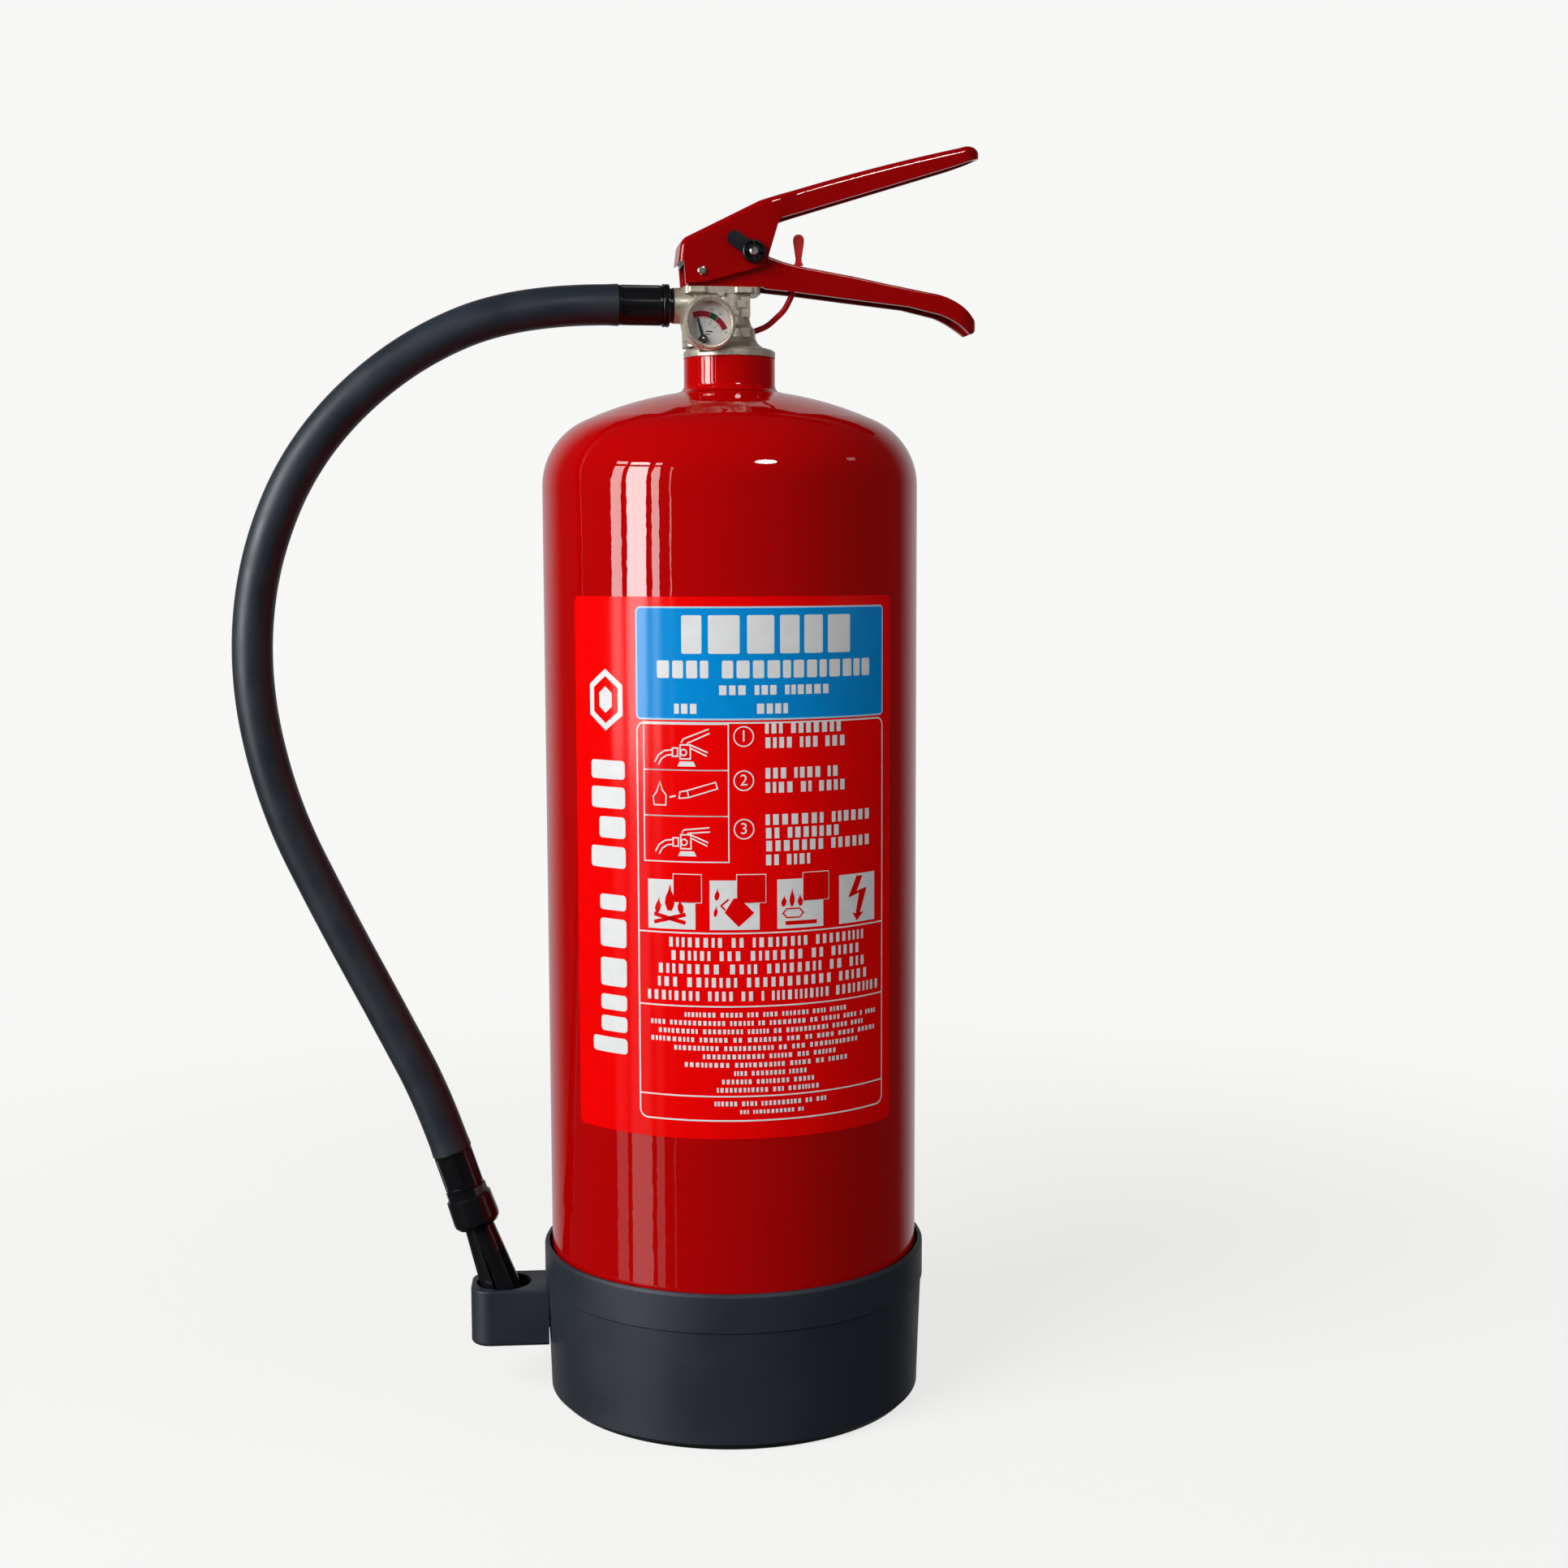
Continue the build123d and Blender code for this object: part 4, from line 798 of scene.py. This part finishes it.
# ---- studio -------------------------------------------------------------------------------
PALE = (0.935, 0.935, 0.925)
FLOOR_Z = -0.02 * MM        # just under the boot, so that the two never share a plane
LIGHT_FAR = 2.2             # every light's distance from AIM
AIM = Vector((0, 0, 0.36))
FRONT_TONE = 0.040          # brightness of the studio's dark front
WALL_TONE = 0.62            # brightness of the wall behind the object
WALL_EDGES = (0.55, 0.90)   # cosines, from its middle, of where the wall starts and is full bright
WALL_AZIMUTH = 172.0        # direction of that wall's middle


def vector_maths(tree, operation, vector):
    node = tree.nodes.new("ShaderNodeVectorMath")
    node.operation = operation
    tree.links.new(vector, node.inputs[0])
    return node


def studio_tone(tree, direction):
    """Brightness that the object sees in a direction: a bright wall behind it and the dark room round it."""
    turn = math.radians(WALL_AZIMUTH)
    towards = vector_maths(tree, "DOT_PRODUCT", direction)
    towards.inputs[1].default_value = (math.sin(turn), -math.cos(turn), 0)
    tone = tree.nodes.new("ShaderNodeMapRange")
    tone.interpolation_type = "SMOOTHSTEP"
    tone.inputs["From Min"].default_value, tone.inputs["From Max"].default_value = WALL_EDGES
    tone.inputs["To Min"].default_value = FRONT_TONE
    tone.inputs["To Max"].default_value = WALL_TONE
    tree.links.new(towards.outputs["Value"], tone.inputs["Value"])
    return tone.outputs["Result"]


def mixed(tree, factor, first, second):
    """First shader where the factor is 0 and second where it is 1."""
    mix = tree.nodes.new("ShaderNodeMixShader")
    for socket, value in zip(mix.inputs, (factor, first, second)):
        tree.links.new(value, socket)
    return mix.outputs[0]


def camera_ray(tree):
    return tree.nodes.new("ShaderNodeLightPath").outputs["Is Camera Ray"]


def pale_glow(tree):
    node = tree.nodes.new("ShaderNodeEmission")
    node.inputs["Color"].default_value = (*PALE, 1)
    return node


def make_world():
    """Pale surroundings. What the object sees is bright behind it and darker in front."""
    world = bpy.data.worlds.new("studio")
    bpy.context.scene.world = world
    world.use_nodes = True
    tree = world.node_tree
    tree.nodes.clear()
    room = tree.nodes.new("ShaderNodeBackground")
    direction = tree.nodes.new("ShaderNodeTexCoord").outputs["Generated"]
    tree.links.new(studio_tone(tree, direction), room.inputs["Strength"])
    shown = tree.nodes.new("ShaderNodeBackground")
    shown.inputs["Color"].default_value = (*PALE, 1)
    both = mixed(tree, camera_ray(tree), room.outputs[0], shown.outputs[0])
    tree.links.new(both, tree.nodes.new("ShaderNodeOutputWorld").inputs["Surface"])


def make_floor():
    """Round pale floor with a little shadow near the object and the backdrop's tone away from it.

    Light that it gives the object fades in with distance, and mirror rays pass it by.
    """
    near, far, reach, sides = 0.25, 0.9, 6.0, 64
    lit, own_glow = 0.22, 0.81
    s = Shader("floor", Roughness=0.9, Specular_IOR_Level=0.0, Emission_Strength=own_glow)
    s.bsdf.inputs["Base Color"].default_value = (*scaled(PALE, lit), 1)
    s.bsdf.inputs["Emission Color"].default_value = (*PALE, 1)
    tree = s.mat.node_tree

    fade = s.nodes.new("ShaderNodeMapRange")
    fade.interpolation_type = "SMOOTHSTEP"
    fade.inputs["From Min"].default_value, fade.inputs["From Max"].default_value = near, far
    s.links.new(vector_maths(tree, "LENGTH", s.place).outputs["Value"], fade.inputs["Value"])
    faded = fade.outputs["Result"]

    bounce = pale_glow(tree)
    dim = s.nodes.new("ShaderNodeMath")
    dim.operation = "MULTIPLY"
    heading = vector_maths(tree, "NORMALIZE", s.place).outputs["Vector"]
    s.links.new(studio_tone(tree, heading), dim.inputs[0])
    s.links.new(faded, dim.inputs[1])
    s.links.new(dim.outputs["Value"], bounce.inputs["Strength"])

    shown = mixed(tree, faded, s.bsdf.outputs[0], pale_glow(tree).outputs[0])
    both = mixed(tree, camera_ray(tree), bounce.outputs[0], shown)
    s.links.new(both, s.nodes["Material Output"].inputs["Surface"])
    turns = [math.tau * k / sides for k in range(sides)]
    rim = [(reach * math.cos(turn), reach * math.sin(turn), FLOOR_Z) for turn in turns]
    floor = add_mesh("floor", rim, [list(range(sides))], s.mat)
    floor.visible_glossy = False


def add_light(name, azimuth, elevation, wide, tall, radiance, glossy=True, diffuse=True, shape="RECTANGLE"):
    """Area light, its azimuth in degrees from the front towards +X; radiance is its own brightness."""
    a, e = math.radians(azimuth), math.radians(elevation)
    away = Vector((math.sin(a) * math.cos(e), -math.cos(a) * math.cos(e), math.sin(e)))
    light = bpy.data.lights.new(name, "AREA")
    light.shape, light.size, light.size_y = shape, wide, tall
    area = wide * tall * (math.pi / 4 if shape == "ELLIPSE" else 1)
    light.energy = radiance * math.pi * area
    obj = bpy.data.objects.new(name, light)
    obj.location = AIM + away * LIGHT_FAR
    obj.rotation_mode = "QUATERNION"
    obj.rotation_quaternion = away.to_track_quat("Z", "Y")
    obj.visible_glossy, obj.visible_diffuse = glossy, diffuse
    bpy.context.scene.collection.objects.link(obj)


def make_lights():
    """A tall window and two small lamps that mirror in the paint, and big soft lights that don't."""
    slit = ("d", -43.2, 0.9, 4.0)
    panes = (("a", -79.0, 7.5, 8.0), ("b", -65.0, 13.0, 16.0), ("c", -52.5, 4.6, 8.0), slit)
    for name, azimuth, degrees, radiance in panes:
        wide = 2 * LIGHT_FAR * math.tan(math.radians(degrees / 2))
        add_light(f"pane_{name}", azimuth, 7.0, wide, 1.10, radiance, diffuse=False)
        add_light(f"sill_{name}", azimuth, -17.0, wide, 0.72, radiance * 0.09, diffuse=False)
        if name != slit[0]:
            add_light(f"transom_{name}", azimuth, 25.2, wide, 0.13, radiance * 1.1, diffuse=False)
    add_light("ceiling_lamp", 14.5, 29.0, 0.50, 0.24, 28.0, diffuse=False, shape="ELLIPSE")
    add_light("far_lamp", 76.0, 28.0, 0.20, 0.12, 1.8, diffuse=False)
    add_light("key", -56.0, 24.0, 1.5, 1.5, 8.8, glossy=False)
    add_light("fill", 70.0, 8.0, 1.6, 0.8, 3.9, glossy=False)


# ---- making -------------------------------------------------------------------------------
bpy.context.scene.view_settings.view_transform = "Standard"
make_camera()
make_hose(MATERIALS["hose_rubber"])
dress_nodes()
make_label_print()
make_gauge_print()
make_needle_cap()
make_world()
make_floor()
make_lights()
